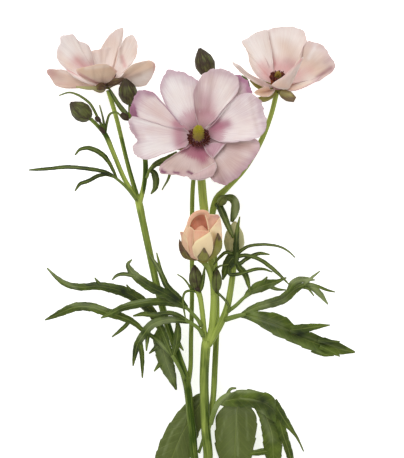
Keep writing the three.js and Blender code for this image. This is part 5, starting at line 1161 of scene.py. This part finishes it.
def finish_material(name, build, roughness, bump, specular, subsurface=0.0, sheen=0.0):
    """A material whose colour and relief come from build(graph)"""
    material = bpy.data.materials.new(name)
    material.use_nodes = True
    material.node_tree.nodes.clear()
    g = Graph(material.node_tree)
    tint, relief, rough = build(g)
    bumps = g.node("ShaderNodeBump", {"Strength": 0.6, "Distance": bump, "Height": relief})
    inputs = {
        "Base Color": tint,
        "Roughness": g.ramp(rough, 0.0, 1.0, roughness - 0.08, roughness + 0.1),
        "Normal": bumps.outputs[0],
        "Specular IOR Level": specular,
    }
    if subsurface:
        inputs |= {
            "Subsurface Weight": subsurface,
            "Subsurface Radius": (1.0, 0.85, 0.8),
            "Subsurface Scale": 2.5 * MM,
        }
    if sheen:
        inputs |= {"Sheen Weight": sheen, "Sheen Roughness": 0.5}
    shader = g.node("ShaderNodeBsdfPrincipled", inputs)
    g.node("ShaderNodeOutputMaterial", {"Surface": shader.outputs[0]})
    return material


def petal_material(name, body, deep, tan, pale, plum, vein, settings):
    """Veined petal: a body colour, a ragged blotch at the foot, a coloured rim, and strokes of colour,
    of painted highlights and of painted shade, with painted light along the edges
    """

    def build(g):
        streak, flow = g.attribute("streak"), g.times(g.attribute("flow"), 0.05)
        veins = g.noise(g.vector(streak, flow), 1.1, 4.0, 0.65)
        lines = g.noise(g.vector(g.times(streak, 3.4), flow), 1.3, 3.0, 0.6)
        clouds = g.noise(g.place(), 110.0)
        base = g.mix(g.ramp(veins, 0.35, 0.68, 0.0, 0.24), body, vein)
        base = g.mix(g.ramp(lines, 0.5, 0.7, 0.0, 0.16), base, deep)
        base = g.mix(g.ramp(lines, 0.5, 0.3, 0.0, 0.2), base, pale)
        base = g.mix(g.ramp(clouds, 0.35, 0.7, 0.0, 0.16), base, tan)
        base = g.tinted(base, "tan", g.ramp(clouds, 0.1, 0.8, 0.75, 1.0), tan)
        # painted highlights and lit edges, with paler patches, from the light strokes
        base = g.tinted(base, "light", 0.9, pale)
        base = g.tinted(base, "pink", g.ramp(lines, 0.3, 0.7, 0.7, 1.0), deep)
        base = g.tinted(base, "plum", g.ramp(clouds, 0.3, 0.7, 0.7, 1.0), plum)
        reach = g.plus(g.attribute("reach"), g.plus(g.swing(veins, 0.26), g.swing(lines, 0.3)))
        blotch = g.times(g.ramp(reach, 0.43, 0.33), g.attribute("blush"), clamp=True)
        base = g.mix(g.times(blotch, 0.85), base, deep)
        base = g.tinted(base, "blush", g.times(g.ramp(reach, 0.3, 0.12), 0.75), settings.haze)
        rim = g.ramp(g.plus(g.attribute("share"), g.times(clouds, 0.22)), 0.88, 1.16)
        base = g.tinted(base, "mauve", rim, settings.mauve)
        # painted shade in folds, creases, overlaps and on faces turned from the lamps
        base = g.tinted(base, "shade", 0.9, (0.42, 0.28, 0.25), "MULTIPLY")
        # painted light along the edges, lifting the shade in the gaps between petals
        base = g.tinted(base, "border", 0.55, pale)
        return base, g.plus(g.times(veins, 0.6), g.times(lines, 0.4)), clouds

    return finish_material(name, build, 0.6, 0.2 * MM, 0.22, subsurface=0.06, sheen=0.1)


def leaf_skin():
    """Leaf skin: a pale midrib, slanting side veins, mottled green and a paler underside, with painted
    highlights, painted reflections and painted shade from the strokes
    """
    green = bpy.context.scene.ranunculus_green

    def build(g):
        off = g.attribute("off")
        blotches = g.noise(g.place(), 160.0)
        fine = g.noise(g.place(), 900.0, 2.0)
        slant = g.minus(g.times(g.attribute("span"), 1.35), g.times(off, 1.5))
        side = g.ramp(g.math("SINE", g.plus(slant, g.times(blotches, 1.6))), 0.82, 1.0)
        side = g.times(side, g.ramp(off, 0.2, 0.9))
        veins = g.math("MAXIMUM", g.ramp(off, 0.42, 0.12), g.times(side, 0.35))
        mottle = g.ramp(blotches, 0.3, 0.75, -0.15, 0.35)
        tone = g.plus(g.times(g.attribute("tone"), 0.75), mottle, clamp=True)
        base = g.mix(tone, green.leaf_dark, green.leaf_light)
        base = g.mix(g.times(g.ramp(g.attribute("side"), 1.0, 0.0), 0.75), base, green.leaf_under)
        base = g.mix(g.times(veins, 0.55), base, green.leaf_vein)
        # light: painted highlights and grey reflections of the sky, with paler patches; shade: painted shade
        # with darker patches
        base = g.tinted(base, "light", 0.6, rgb(152, 164, 112))
        base = g.tinted(base, "shade", 0.75, rgb(24, 36, 8))
        return base, g.minus(g.times(fine, 0.5), veins), blotches

    made = bpy.data.materials.get("Leaf skin")
    return made or finish_material("Leaf skin", build, 0.44, 0.3 * MM, 0.26, subsurface=0.03)


def stem_material(green):
    """Stem skin: long ridges, from dark to yellow-green, with painted highlights and painted shade"""

    def build(g):
        span = g.times(g.attribute("span"), 0.02)
        streaks = g.noise(g.vector(g.attribute("turn_x"), g.attribute("turn_y"), span), 3.6)
        blotches = g.noise(g.place(), 120.0, 2.0)
        tone = g.plus(g.attribute("tone"), g.swing(streaks, 1.5))
        # painted highlights and paler joints raise the tone, painted shade lowers it
        tone = g.minus(g.plus(tone, g.attribute("light")), g.attribute("shade"))
        tone = g.plus(tone, g.swing(blotches, 0.4), clamp=True)
        return g.mix(tone, green.stem_dark, green.stem_light), streaks, blotches

    return finish_material("Stem skin", build, 0.48, 0.3 * MM, 0.15, subsurface=0.04)


def sepal_material(name, green, brown, spread):
    """Sepal skin: olive with lengthwise veins and a brown edge and tip"""

    def build(g):
        across = g.attribute("across")
        veins = g.noise(g.vector(across, g.times(g.attribute("span"), 0.03)), 6.0)
        blotches = g.noise(g.place(), 260.0)
        rim = g.ramp(g.math("ABSOLUTE", across), 0.6, 1.0)
        edge = g.math("MAXIMUM", rim, g.ramp(g.attribute("share"), 0.6, 1.0))
        brownness = g.plus(g.times(edge, spread), g.ramp(blotches, 0.4, 0.8, 0.0, 0.5))
        brownness = g.plus(brownness, g.attribute("brown"), clamp=True)
        base = g.mix(brownness, green, brown)
        base = g.mix(g.ramp(veins, 0.5, 0.75, 0.0, 0.4), base, [min(1.0, c * 1.8) for c in green])
        base = g.mix(g.ramp(veins, 0.45, 0.25, 0.0, 0.5), base, [c * 0.55 for c in brown])
        # the light value pales the skin: the sepals' own paler green, and painted light on the right bud
        return g.tinted(base, "light", 1.0, rgb(196, 190, 140)), veins, blotches

    return finish_material(name, build, 0.6, 0.25 * MM, 0.3, subsurface=0.04)


def tint_material(name, low, high, scale=500.0, roughness=0.55, attribute=None, vary=0.5):
    """Two colours mixed by fine noise, or by a value of the surface"""

    def build(g):
        grain = g.noise(g.place(), scale)
        share = g.attribute(attribute) if attribute else grain
        share = g.plus(share, g.swing(grain, vary), clamp=True)
        return g.tinted(g.mix(share, low, high), "gap", 0.85, rgb(78, 62, 16)), grain, grain

    return finish_material(name, build, roughness, 0.1 * MM, 0.3)


# Geometry node trees for what repeats


def geometry_tree(name, *labels):
    """A tree with named inputs; returns its graph and its inputs by name"""
    tree = bpy.data.node_groups.new(name, "GeometryNodeTree")
    kinds = {"Geometry": "Geometry", "Count": "Int", "Seed": "Int", "Material": "Material"}
    for label in ("Geometry", *labels, "Seed", "Material"):
        kind = "NodeSocket" + kinds.get(label, "Float")
        tree.interface.new_socket(name=label, in_out="INPUT", socket_type=kind)
    tree.interface.new_socket(name="Geometry", in_out="OUTPUT", socket_type="NodeSocketGeometry")
    graph = Graph(tree)
    return graph, graph.node("NodeGroupInput").outputs


def end_tree(g, geometry, material):
    """Realize Instances and Set Material, smooth shaded"""
    smooth = g.node("GeometryNodeSetShadeSmooth", {"Geometry": geometry})
    real = g.node("GeometryNodeRealizeInstances", {0: smooth.outputs[0]})
    finish = g.node("GeometryNodeSetMaterial", {"Geometry": real.outputs[0], "Material": material})
    g.node("NodeGroupOutput", {0: finish.outputs[0]})
    return g.tree


def grow(name, source, tree, values):
    """Runs a tree on a mesh and returns the result as a plain mesh"""
    holder = bpy.data.objects.new(name + "_source", source)
    bpy.context.scene.collection.objects.link(holder)
    modifier = holder.modifiers.new("Grow", "NODES")
    modifier.node_group = tree
    for item in tree.interface.items_tree:
        if item.item_type == "SOCKET" and item.in_out == "INPUT" and item.name in values:
            modifier[item.identifier] = values[item.name]
    bpy.context.view_layer.update()
    depsgraph = bpy.context.evaluated_depsgraph_get()
    evaluated = holder.evaluated_get(depsgraph)
    mesh = bpy.data.meshes.new_from_object(evaluated, preserve_all_data_layers=True, depsgraph=depsgraph)
    holder.modifiers.clear()
    bpy.data.objects.remove(holder)
    if not mesh.polygons:
        raise RuntimeError(name + " came out empty")
    mesh.name = name
    return mesh


def random_value(g, low, high, seed, kind="FLOAT"):
    first, result = (0, 0) if kind == "FLOAT_VECTOR" else (2, 1)
    inputs = {first: low, first + 1: high, "Seed": seed}
    return g.node("FunctionNodeRandomValue", inputs, data_type=kind).outputs[result]


def store(g, geometry, name, value):
    inputs = {"Geometry": geometry, "Name": name, "Value": value}
    return g.node("GeometryNodeStoreNamedAttribute", inputs, data_type="FLOAT", domain="POINT").outputs[0]


def joined(g, first, second):
    both = g.node("GeometryNodeJoinGeometry", {0: first})
    g.tree.links.new(second, both.inputs[0])
    return both.outputs[0]


def turned(g, vector):
    return g.node("FunctionNodeEulerToRotation", {0: vector}).outputs[0]


def planted(g, points, thing, rotation, low, high, seed):
    """One thing on each point, turned, in sizes between two limits"""
    size = random_value(g, low, high, seed)
    inputs = {"Points": points, "Instance": thing, "Rotation": rotation, "Scale": size}
    return g.node("GeometryNodeInstanceOnPoints", inputs).outputs[0]


def stretched_ball(g, segments, rings, radius, inputs):
    """A ball, stretched and moved"""
    values = {"Segments": segments, "Rings": rings, "Radius": radius}
    ball = g.node("GeometryNodeMeshUVSphere", values).outputs[0]
    return g.node("GeometryNodeTransform", {"Geometry": ball} | inputs).outputs[0]


def hair_tree():
    """Fine tapered hairs that stand out from a skin where its hair value says"""
    g, enter = geometry_tree("Stem hairs", "Length", "Width", "Density")
    seed = enter["Seed"]
    hairiness = g.node("GeometryNodeInputNamedAttribute", {"Name": "hair"}, data_type="FLOAT").outputs[0]
    density = g.times(hairiness, enter["Density"])
    inputs = {"Mesh": enter["Geometry"], "Density": density, "Seed": seed}
    scatter = g.node("GeometryNodeDistributePointsOnFaces", inputs).outputs
    width = g.times(enter["Width"], 0.5)
    cone = {"Vertices": 3, "Radius Bottom": width, "Radius Top": 0.0, "Depth": enter["Length"]}
    hair = g.node("GeometryNodeMeshCone", cone).outputs[0]
    lean = turned(g, random_value(g, (-0.5, -0.5, 0.0), (0.5, 0.5, 3.0), seed, "FLOAT_VECTOR"))
    turn = g.node("FunctionNodeRotateRotation", {0: scatter["Rotation"], 1: lean}, rotation_space="LOCAL")
    hairs = planted(g, scatter["Points"], hair, turn.outputs[0], 0.45, 1.2, seed)
    return end_tree(g, hairs, enter["Material"])


def spiral_points(g, count, inner, outer, rise):
    """Points on a golden spiral: radius and height from rise(share, inner, outer)"""
    index = g.node("GeometryNodeInputIndex").outputs[0]
    share = g.math("DIVIDE", g.plus(index, 0.5), count)
    angle = g.times(index, GOLDEN_ANGLE)
    radius, height = rise(share, inner, outer)
    x, y = (g.times(radius, g.math(part, angle)) for part in ("COSINE", "SINE"))
    spot = g.vector(x, y, height)
    return g.node("GeometryNodePoints", {"Count": count, "Position": spot}).outputs[0], share, angle, spot


def stamen_tree():
    """Rings of stamens on a golden spiral: a thread and a long anther on each"""
    g, enter = geometry_tree(
        "Stamens", "Count", "Inner", "Outer", "Height", "Lean", "Anther Length", "Anther Width"
    )
    height, width, seed = enter["Height"], enter["Anther Width"], enter["Seed"]

    def rise(share, inner, outer):
        return g.plus(inner, g.times(g.minus(outer, inner), g.math("POWER", share, 0.6))), 0.0

    points, share, angle, _ = spiral_points(g, enter["Count"], enter["Inner"], enter["Outer"], rise)
    cone = {"Vertices": 5, "Radius Top": 0.12 * MM, "Radius Bottom": 0.18 * MM, "Depth": height}
    thread = g.node("GeometryNodeMeshCone", cone).outputs[0]
    size = g.vector(width, g.times(width, 0.7), enter["Anther Length"])
    anther = stretched_ball(g, 8, 6, 0.5, {"Translation": g.vector(0.0, 0.0, height), "Scale": size})
    both = joined(g, store(g, thread, "tip", 0.0), store(g, anther, "tip", 1.0))
    tilt = g.plus(g.times(enter["Lean"], share), random_value(g, -0.12, 0.12, seed))
    rotation = turned(g, g.vector(random_value(g, -0.15, 0.15, seed), tilt, angle))
    return end_tree(g, planted(g, points, both, rotation, 0.82, 1.12, seed), enter["Material"])


def pistil_tree():
    """Small seed beads on a golden spiral over an egg, joined with the egg itself"""
    g, enter = geometry_tree("Pistil", "Count", "Radius", "Height", "Bead")

    def rise(share, radius, height):
        ring = g.math("SQRT", g.minus(1.0, g.times(share, share)))
        return g.times(radius, ring), g.times(height, share)

    points, share, _, spot = spiral_points(g, enter["Count"], enter["Radius"], enter["Height"], rise)
    size = g.vector(enter["Bead"], enter["Bead"], g.times(enter["Bead"], 1.7))
    bead = stretched_ball(g, 7, 5, 1.0, {"Scale": size})
    facing = g.node("FunctionNodeAlignRotationToVector", {"Vector": spot}, axis="Z").outputs[0]
    beads = planted(g, store(g, points, "tip", share), bead, facing, 0.85, 1.15, enter["Seed"])
    return end_tree(g, joined(g, beads, enter["Geometry"]), enter["Material"])


# Pieces


def allow_for_view(mesh):
    """Widens what lies low and narrows what stands high, as outlines read off a near view need"""
    stage = bpy.context.scene.ranunculus_stage
    points = np.empty(3 * len(mesh.vertices), dtype=np.float32)
    mesh.vertices.foreach_get("co", points)
    points = points.reshape(-1, 3)
    middle = np.array(CENTRE_SHIFT) * MM
    scale = 1 - (points[:, 2:] - stage.focus_height) / stage.camera_distance
    points[:, :2] = middle + (points[:, :2] - middle) * scale
    mesh.vertices.foreach_set("co", points.ravel())


def finish_piece(name, shape, material, slot, *nodes):
    """Puts a finished surface or mesh in the scene under the root body and hides the model's parts that
    it takes the place of
    """
    mesh = shape.mesh(name) if isinstance(shape, Surface) else shape
    allow_for_view(mesh)
    mesh.materials.clear()
    mesh.materials.append(material)
    piece = bpy.data.objects.new(name, mesh)
    bpy.context.scene.collection.objects.link(piece)
    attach(piece, "root")
    if nodes:
        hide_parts(*nodes)


class Maker(bpy.types.Operator):
    """Shared base of the steps that make the stem"""

    bl_options = {"REGISTER", "UNDO"}

    @property
    def flower(self):
        return bpy.context.scene.ranunculus_flower

    @property
    def green(self):
        return bpy.context.scene.ranunculus_green


class RANUNCULUS_OT_stage(bpy.types.Operator):
    """Make the pale floor, the soft lights and the camera that looks straight down"""

    bl_idname = "ranunculus.stage"
    bl_label = "Stage"

    def execute(self, context):
        stage = context.scene.ranunculus_stage
        half = stage.floor_size / 2
        corners = [(-half, -half, 0), (half, -half, 0), (half, half, 0), (-half, half, 0)]
        mesh = bpy.data.meshes.new("floor")
        mesh.from_pydata(corners, [], [(0, 1, 2, 3)])

        def build(g):
            grain = g.noise(g.place(), 6.0, 2.0)
            return g.mix(g.times(grain, 0.05), stage.floor, [c * 0.9 for c in stage.floor]), grain, grain

        material = finish_material("Pale floor", build, 0.8, 0.02 * MM, 0.1)
        shader = material.node_tree.nodes["Principled BSDF"]
        shader.inputs["Emission Color"].default_value = (1.0, 1.0, 1.0, 1.0)
        shader.inputs["Emission Strength"].default_value = stage.floor_glow
        mesh.materials.append(material)
        link = context.scene.collection.objects.link
        floor = bpy.data.objects.new("floor", mesh)
        link(floor)

        middle = Vector((CENTRE_SHIFT[0] * MM, CENTRE_SHIFT[1] * MM, stage.focus_height))
        for name, power, offset, size in (
            ("key_light", stage.key_power, (-0.55, 0.75, 1.25), 1.1),
            ("fill_light", stage.fill_power, (0.9, -0.35, 1.3), 1.4),
        ):
            light = bpy.data.lights.new(name, "AREA")
            light.energy = power
            light.size = size
            lamp = bpy.data.objects.new(name, light)
            lamp.location = middle + Vector(offset)
            lamp.rotation_euler = (-Vector(offset)).to_track_quat("-Z", "Y").to_euler()
            link(lamp)
        world = bpy.data.worlds.new("Soft studio")
        world.use_nodes = True
        background = world.node_tree.nodes["Background"]
        background.inputs["Color"].default_value = (1.0, 1.0, 1.0, 1.0)
        background.inputs["Strength"].default_value = stage.sky
        context.scene.world = world
        context.scene.view_settings.view_transform = "Standard"

        camera = bpy.data.cameras.new("camera")
        tall = PICTURE_SIZE[1] * PIXEL * MM
        camera.lens = camera.sensor_width * stage.camera_distance / tall
        camera.clip_end = 50.0
        eye = bpy.data.objects.new("camera", camera)
        eye.location = middle + Vector((0.0, 0.0, stage.camera_distance))
        link(eye)
        context.scene.camera = eye
        return {"FINISHED"}


class RANUNCULUS_OT_stems(Maker):
    """Make the stems with their ridges, the narrow bracts at the joints and the fine hairs"""

    bl_idname = "ranunculus.stems"
    bl_label = "Stems, bracts and hairs"

    def execute(self, context):
        green = self.green
        stems, bracts, woolly = Surface(), Surface(), Surface()
        for seed, ((tone, end_tone, hair), *rows) in enumerate(STEMS.values()):
            line = stepped_line(stations(rows), 2.2 * MM, 12)
            line[:, 3] *= 1 + 0.03 * ripple(line[:, :3], 6 * MM, seed)
            values = {"tone": np.linspace(tone, end_tone, len(line)), "hair": hair}
            add_tube(stems, line, 14, values, ridges=0.035, seed=seed)
        stems.paint(STEM_STROKES)
        skin = stems.mesh("stem_skin")
        for seed, rows in enumerate(BRACTS.values(), 50):
            line = stations(rows, PIXEL * MM)
            add_lobe(bracts, line, green.leaf_thickness, seed, {"tone": 0.25}, fold=0.3, wave=0.03)
        bracts.paint(BRACT_STROKES)
        for name, wool in BUD_WOOL.items():
            base, tip, (radius, _) = GREEN_BUDS[name]
            add_body(woolly, *place([base, tip]), BUD_PROFILE, radius * MM, 12, 16, {"hair": wool})
        hair = tint_material("Hair", rgb(214, 218, 190), rgb(170, 176, 130))
        tree = hair_tree()
        values = {
            "Length": green.hair_length, "Width": green.hair_width, "Density": green.hair_density,
            "Seed": green.seed, "Material": hair,
        }
        hairs = grow("stem_hairs", skin.copy(), tree, values)
        wool = grow("bud_wool", woolly.mesh("woolly"), tree, values)
        finish_piece("stem_skin", skin, stem_material(green), "stem", "stems")
        finish_piece("bract_blades", bracts, leaf_skin(), "stem", "stems")
        finish_piece("stem_hairs", hairs, hair, "stem")
        finish_piece("bud_wool", wool, hair, "bud")
        return {"FINISHED"}


class RANUNCULUS_OT_leaves(Maker):
    """Make the cut leaves: each lobe folded along its midrib, with veins"""

    bl_idname = "ranunculus.leaves"
    bl_label = "Leaves"

    def execute(self, context):
        thickness = self.green.leaf_thickness
        for number, (name, (((tone,), *stalk), strokes, *lobes)) in enumerate(LEAVES.items()):
            surface = Surface()
            seed = number * 20
            looks = {"tone": tone + 0.9, "light": 0.3, "off": 0.5, "side": 1.0}
            add_tube(surface, stepped_line(stations(stalk), 1.5 * MM, 8), 10, looks)
            for part, rows in enumerate(lobes):
                looks = {"tone": tone + 0.12 * math.sin(5 * part)}
                add_lobe(surface, stations(rows, PIXEL * MM), thickness, seed + part, looks, teeth=0.08)
            for part, blade in enumerate(BLADES.get(name, []), 11):
                add_blade(surface, blade, thickness, seed + part, tone)
            surface.paint(strokes)
            finish_piece(name + "_blade", surface, leaf_skin(), "leaf", name)
        return {"FINISHED"}


class RANUNCULUS_OT_buds(Maker):
    """Make the closed green buds from overlapping scales"""

    bl_idname = "ranunculus.buds"
    bl_label = "Green buds"

    def execute(self, context):
        green = self.green
        material = sepal_material("Bud skin", green.bud_green, green.bud_dark, 0.5)
        for number, (name, (base, tip, (radius, brown))) in enumerate(GREEN_BUDS.items()):
            surface = Surface()
            base, tip = place([base, tip])
            radius *= MM
            add_body(surface, base, tip, BUD_PROFILE, radius * 0.93, 16, 20, {"share": 0.3, "tone": 0.3})
            for k in range(5):
                middle = 72 * k + 17 * number
                wrap = middle - 48, middle + 48, 1.02, 0.05 + 0.22 * (k % 2)
                # the right bud is paled: painted light that lifts the shade it lies in under the leaves
                light = 0.7 if name == "right_bud" else 0.0
                values = {"brown": brown + 0.12 * math.sin(7 * k), "light": light}
                add_wrap(
                    surface, (base, tip, BUD_PROFILE, radius), wrap, 0.35 * MM, number * 9 + k, values,
                    taper=0.2, drop=0.06, edge=0.12,
                )
            finish_piece(name + "_scales", surface, material, "bud", name)
        knots = Surface()
        for start, end, (radius,) in KNOT_SCALES:
            ends = place([start, end])
            add_body(knots, *ends, BUD_PROFILE, radius * MM, 10, 12, {"brown": 0.9, "across": 0.4}, 0.1)
        finish_piece("knot_scales", knots, material, "stem")
        return {"FINISHED"}


class RANUNCULUS_OT_blooms(Maker):
    """Make the petals and sepals of the three open blooms"""

    bl_idname = "ranunculus.blooms"
    bl_label = "Petals and sepals"

    def execute(self, context):
        flower, green = self.flower, self.green
        pale = rgb(250, 244, 240)
        materials = {
            "mauve_petal": petal_material(
                "Mauve petal", flower.cream, flower.blush, flower.tan, pale, rgb(124, 66, 96),
                flower.mauve, flower,
            ),
            "cream_petal": petal_material(
                "Cream petal", rgb(237, 227, 221), rgb(206, 138, 140), flower.tan, pale,
                rgb(150, 100, 110), rgb(206, 178, 172), flower,
            ),
        }
        sepal = sepal_material("Sepal skin", green.sepal_green, green.sepal_brown, 0.9)
        for name, bloom in BLOOMS.items():
            surface = Surface()
            shape, slot, seed = bloom["shape"], bloom["slot"], bloom["seed"]
            centre, axis, _, _ = frame_of(shape)
            ends = centre, centre + axis * MM
            seat = (-1.4, 0.6), (-0.6, 0.92), (0.5, 0.8)
            looks = {"reach": 0.1, "blush": 0.8, "share": 0.1}
            add_body(surface, *ends, seat, shape["receptacle_radius"] * MM, 6, 20, looks)
            for number, (petal, looks) in enumerate(zip(shape["petals"], shape["looks"])):
                add_petal(surface, shape, petal, looks, flower.petal_thickness, seed + number)
            for number, (look, strokes, *rows) in enumerate(FOLDS[name], 10):
                grid = loft(place(rows), 16, 24)
                add_patch(surface, grid, flower.petal_thickness, dict(look), strokes, seed + number)
            finish_piece(name + "_petal_fan", surface, materials[slot], slot, name + "_petals")

            ring = Surface()
            sepals = SEPALS[name]
            disc_radius = sepals["disc_radius"] * MM
            disc = (-3.8, 0.8), (-2.8, 1.0), (-1.8, 0.9)
            add_body(ring, *ends, disc, disc_radius, 6, 16, {"share": 0.2})
            middle = centre - axis * 2.8 * MM
            for number, ((brown, light), *rows) in enumerate(sepals["lobes"]):
                line = stations(rows, PIXEL * MM)
                root = middle + sideways(line[0, :3] - middle, axis) * disc_radius * 0.6
                line = np.vstack([[*root, disc_radius], line])
                looks = {"brown": brown, "light": light}
                add_lobe(ring, line, green.sepal_thickness, seed + number, looks, fold=0.35, wave=0.06)
            ring.paint(SEPAL_STROKES)
            finish_piece(name + "_sepal_ring", ring, sepal, "sepal", name + "_sepals")
        return {"FINISHED"}


class RANUNCULUS_OT_hearts(Maker):
    """Make the stamens and the beaded pistil in each open bloom"""

    bl_idname = "ranunculus.hearts"
    bl_label = "Stamens and pistils"

    def execute(self, context):
        flower, green = self.flower, self.green
        anther = tint_material("Anther", flower.filament, flower.anther, 500.0, 0.6, "tip", 2.0)
        carpel = tint_material("Carpel", rgb(196, 164, 100), flower.pistil, 1400.0, 0.45, "tip")
        dusky = tint_material("Dusky carpel", rgb(66, 38, 20), rgb(170, 142, 62), 1400.0, 0.45, "tip")
        stamens, pistils = stamen_tree(), pistil_tree()
        for name, bloom in BLOOMS.items():
            centre, axis, across, lift = frame_of(bloom["shape"])
            seed = green.seed + bloom["seed"]

            def make(part, slot, source, tree, material, lean, extra):
                """Grows one part with the tree, upright, and then sets it in the bloom"""
                lengths = {key: value * MM for key, value in bloom[slot].items()}
                values = {"Count": bloom[slot]["Count"], "Seed": seed, "Material": material} | extra
                mesh = grow(name + part, source, tree, lengths | values)
                down, shear, squash = lean
                spot = centre + axis * MM - lift * down * PIXEL * MM
                rows = np.stack([across, lift * squash, axis + lift * shear, spot], axis=1)
                mesh.transform(Matrix([*rows.tolist(), (0.0, 0.0, 0.0, 1.0)]))
                nodes = name + ("_stamens" if slot == "stamen" else "_pistil")
                finish_piece(name + part, mesh, material, slot, nodes)

            sizes = {
                "Lean": bloom["stamen"]["Lean"],
                "Anther Length": flower.anther_length, "Anther Width": flower.anther_width,
            }
            empty = bpy.data.meshes.new("empty")
            make("_anthers", "stamen", empty, stamens, anther, bloom["stamen_lean"], sizes)

            egg = Surface()
            radius, height = bloom["pistil"]["Radius"] * MM, bloom["pistil"]["Height"] * MM
            heights = np.linspace(0, 1, 9)
            columns = [0 * heights, 0 * heights, heights * height, radius * np.sqrt(1.0001 - heights**2)]
            add_tube(egg, np.stack(columns, axis=1), 16, {"tip": heights, "gap": 1.0})
            skin = dusky if name == "right_bloom" else carpel
            make("_carpels", "pistil", egg.mesh("egg"), pistils, skin, bloom["pistil_lean"], {})
        return {"FINISHED"}


class RANUNCULUS_OT_peach_bud(Maker):
    """Make the half-open peach bud: wrapped petals round a coral heart, and its sepals"""

    bl_idname = "ranunculus.peach_bud"
    bl_label = "Peach bud"

    def execute(self, context):
        flower, green = self.flower, self.green
        base, top = place([PEACH_BUD["base"], PEACH_BUD["top"]])
        radius = PEACH_BUD["radius"] * MM
        profile = PEACH_BUD["profile"]
        body = base, top, profile, radius

        def on_bud(rows):
            """Rows of right, down and millimetres out as points on the bud's upper half"""
            points = place(rows)
            share = (points[..., 1] - base[1]) / (top[1] - base[1])
            middle = base + (top - base) * share[..., None]
            reach = radius * body_radius(profile, share)
            aside = np.minimum(np.abs(points[..., 0] - middle[..., 0]) / reach, 1.0)
            points[..., 2] += middle[..., 2] + reach * np.sqrt(1 - aside**2)
            return points

        cup, ring = Surface(), Surface()
        for number, wrap in enumerate(PEACH_BACK):
            add_wrap(cup, body, wrap, 0.6 * MM, number, {"tan": 0.2, "pink": 0.1})
        core = [(share, radius * reach - 1.6 * MM) for share, reach in profile if share < 0.5]
        add_body(cup, base, top, core, 1.0, 12, 24, {"reach": 0.6, "pink": 0.6})
        for number, (look, strokes, *rows) in enumerate(PEACH_FRONT, 70):
            add_patch(cup, loft(on_bud(rows), 28, 28), 0.6 * MM, dict(look), strokes, number)
        material = petal_material(
            "Peach petal", flower.peach, flower.coral, rgb(176, 138, 78), flower.bud_cream,
            rgb(176, 122, 124), rgb(238, 168, 132), flower,
        )
        finish_piece("peach_bud_petal_cup", cup, material, "peach_petal", "peach_bud_petals")

        disc = (-0.03, 1.8), (0.0, 2.8), (0.04, 3.8), (0.07, 4.6)
        add_body(ring, base, top, disc, MM, 8, 20, {"share": 0.2})
        for number, wrap in enumerate(PEACH_BACK_SEPALS, 60):
            add_wrap(ring, body, wrap, green.sepal_thickness, number, {})
        for number, (((brown, light),), *rows) in enumerate(PEACH_SEPALS, 90):
            look = {"brown": brown, "light": light}
            grid = loft(on_bud(rows), 18, 11)
            add_patch(ring, grid, green.sepal_thickness, look, PEACH_SEPAL_STROKES, number)
        sepal = bpy.data.materials["Sepal skin"]
        finish_piece("peach_bud_sepal_cup", ring, sepal, "sepal", "peach_bud_sepals")
        return {"FINISHED"}


STEPS = (
    RANUNCULUS_OT_stage,
    RANUNCULUS_OT_stems,
    RANUNCULUS_OT_leaves,
    RANUNCULUS_OT_buds,
    RANUNCULUS_OT_blooms,
    RANUNCULUS_OT_hearts,
    RANUNCULUS_OT_peach_bud,
)
GROUPS = {
    "ranunculus_flower": FlowerSettings,
    "ranunculus_green": GreenSettings,
    "ranunculus_stage": StageSettings,
}


class RANUNCULUS_PT_panel(bpy.types.Panel):
    """Lists the steps and the settings of the ranunculus stem"""

    bl_idname = "RANUNCULUS_PT_panel"
    bl_label = "Ranunculus stem"
    bl_space_type = "VIEW_3D"
    bl_region_type = "UI"
    bl_category = "Ranunculus"

    def draw(self, context):
        for step in STEPS:
            self.layout.operator(step.bl_idname)
        for key in GROUPS:
            group = getattr(context.scene, key)
            box = self.layout.box()
            for name in group.__annotations__:
                box.prop(group, name)


def register():
    for name, group in GROUPS.items():
        bpy.utils.register_class(group)
        setattr(bpy.types.Scene, name, PointerProperty(type=group))
    for step in STEPS:
        bpy.utils.register_class(step)
    bpy.utils.register_class(RANUNCULUS_PT_panel)


def unregister():
    bpy.utils.unregister_class(RANUNCULUS_PT_panel)
    for step in reversed(STEPS):
        bpy.utils.unregister_class(step)
    for name, group in reversed(GROUPS.items()):
        delattr(bpy.types.Scene, name)
        bpy.utils.unregister_class(group)


def main():
    register()
    bpy.ops.ranunculus.stage()
    bpy.ops.ranunculus.stems()
    bpy.ops.ranunculus.leaves()
    bpy.ops.ranunculus.buds()
    bpy.ops.ranunculus.blooms()
    bpy.ops.ranunculus.hearts()
    bpy.ops.ranunculus.peach_bud()


if __name__ == "__main__":
    main()
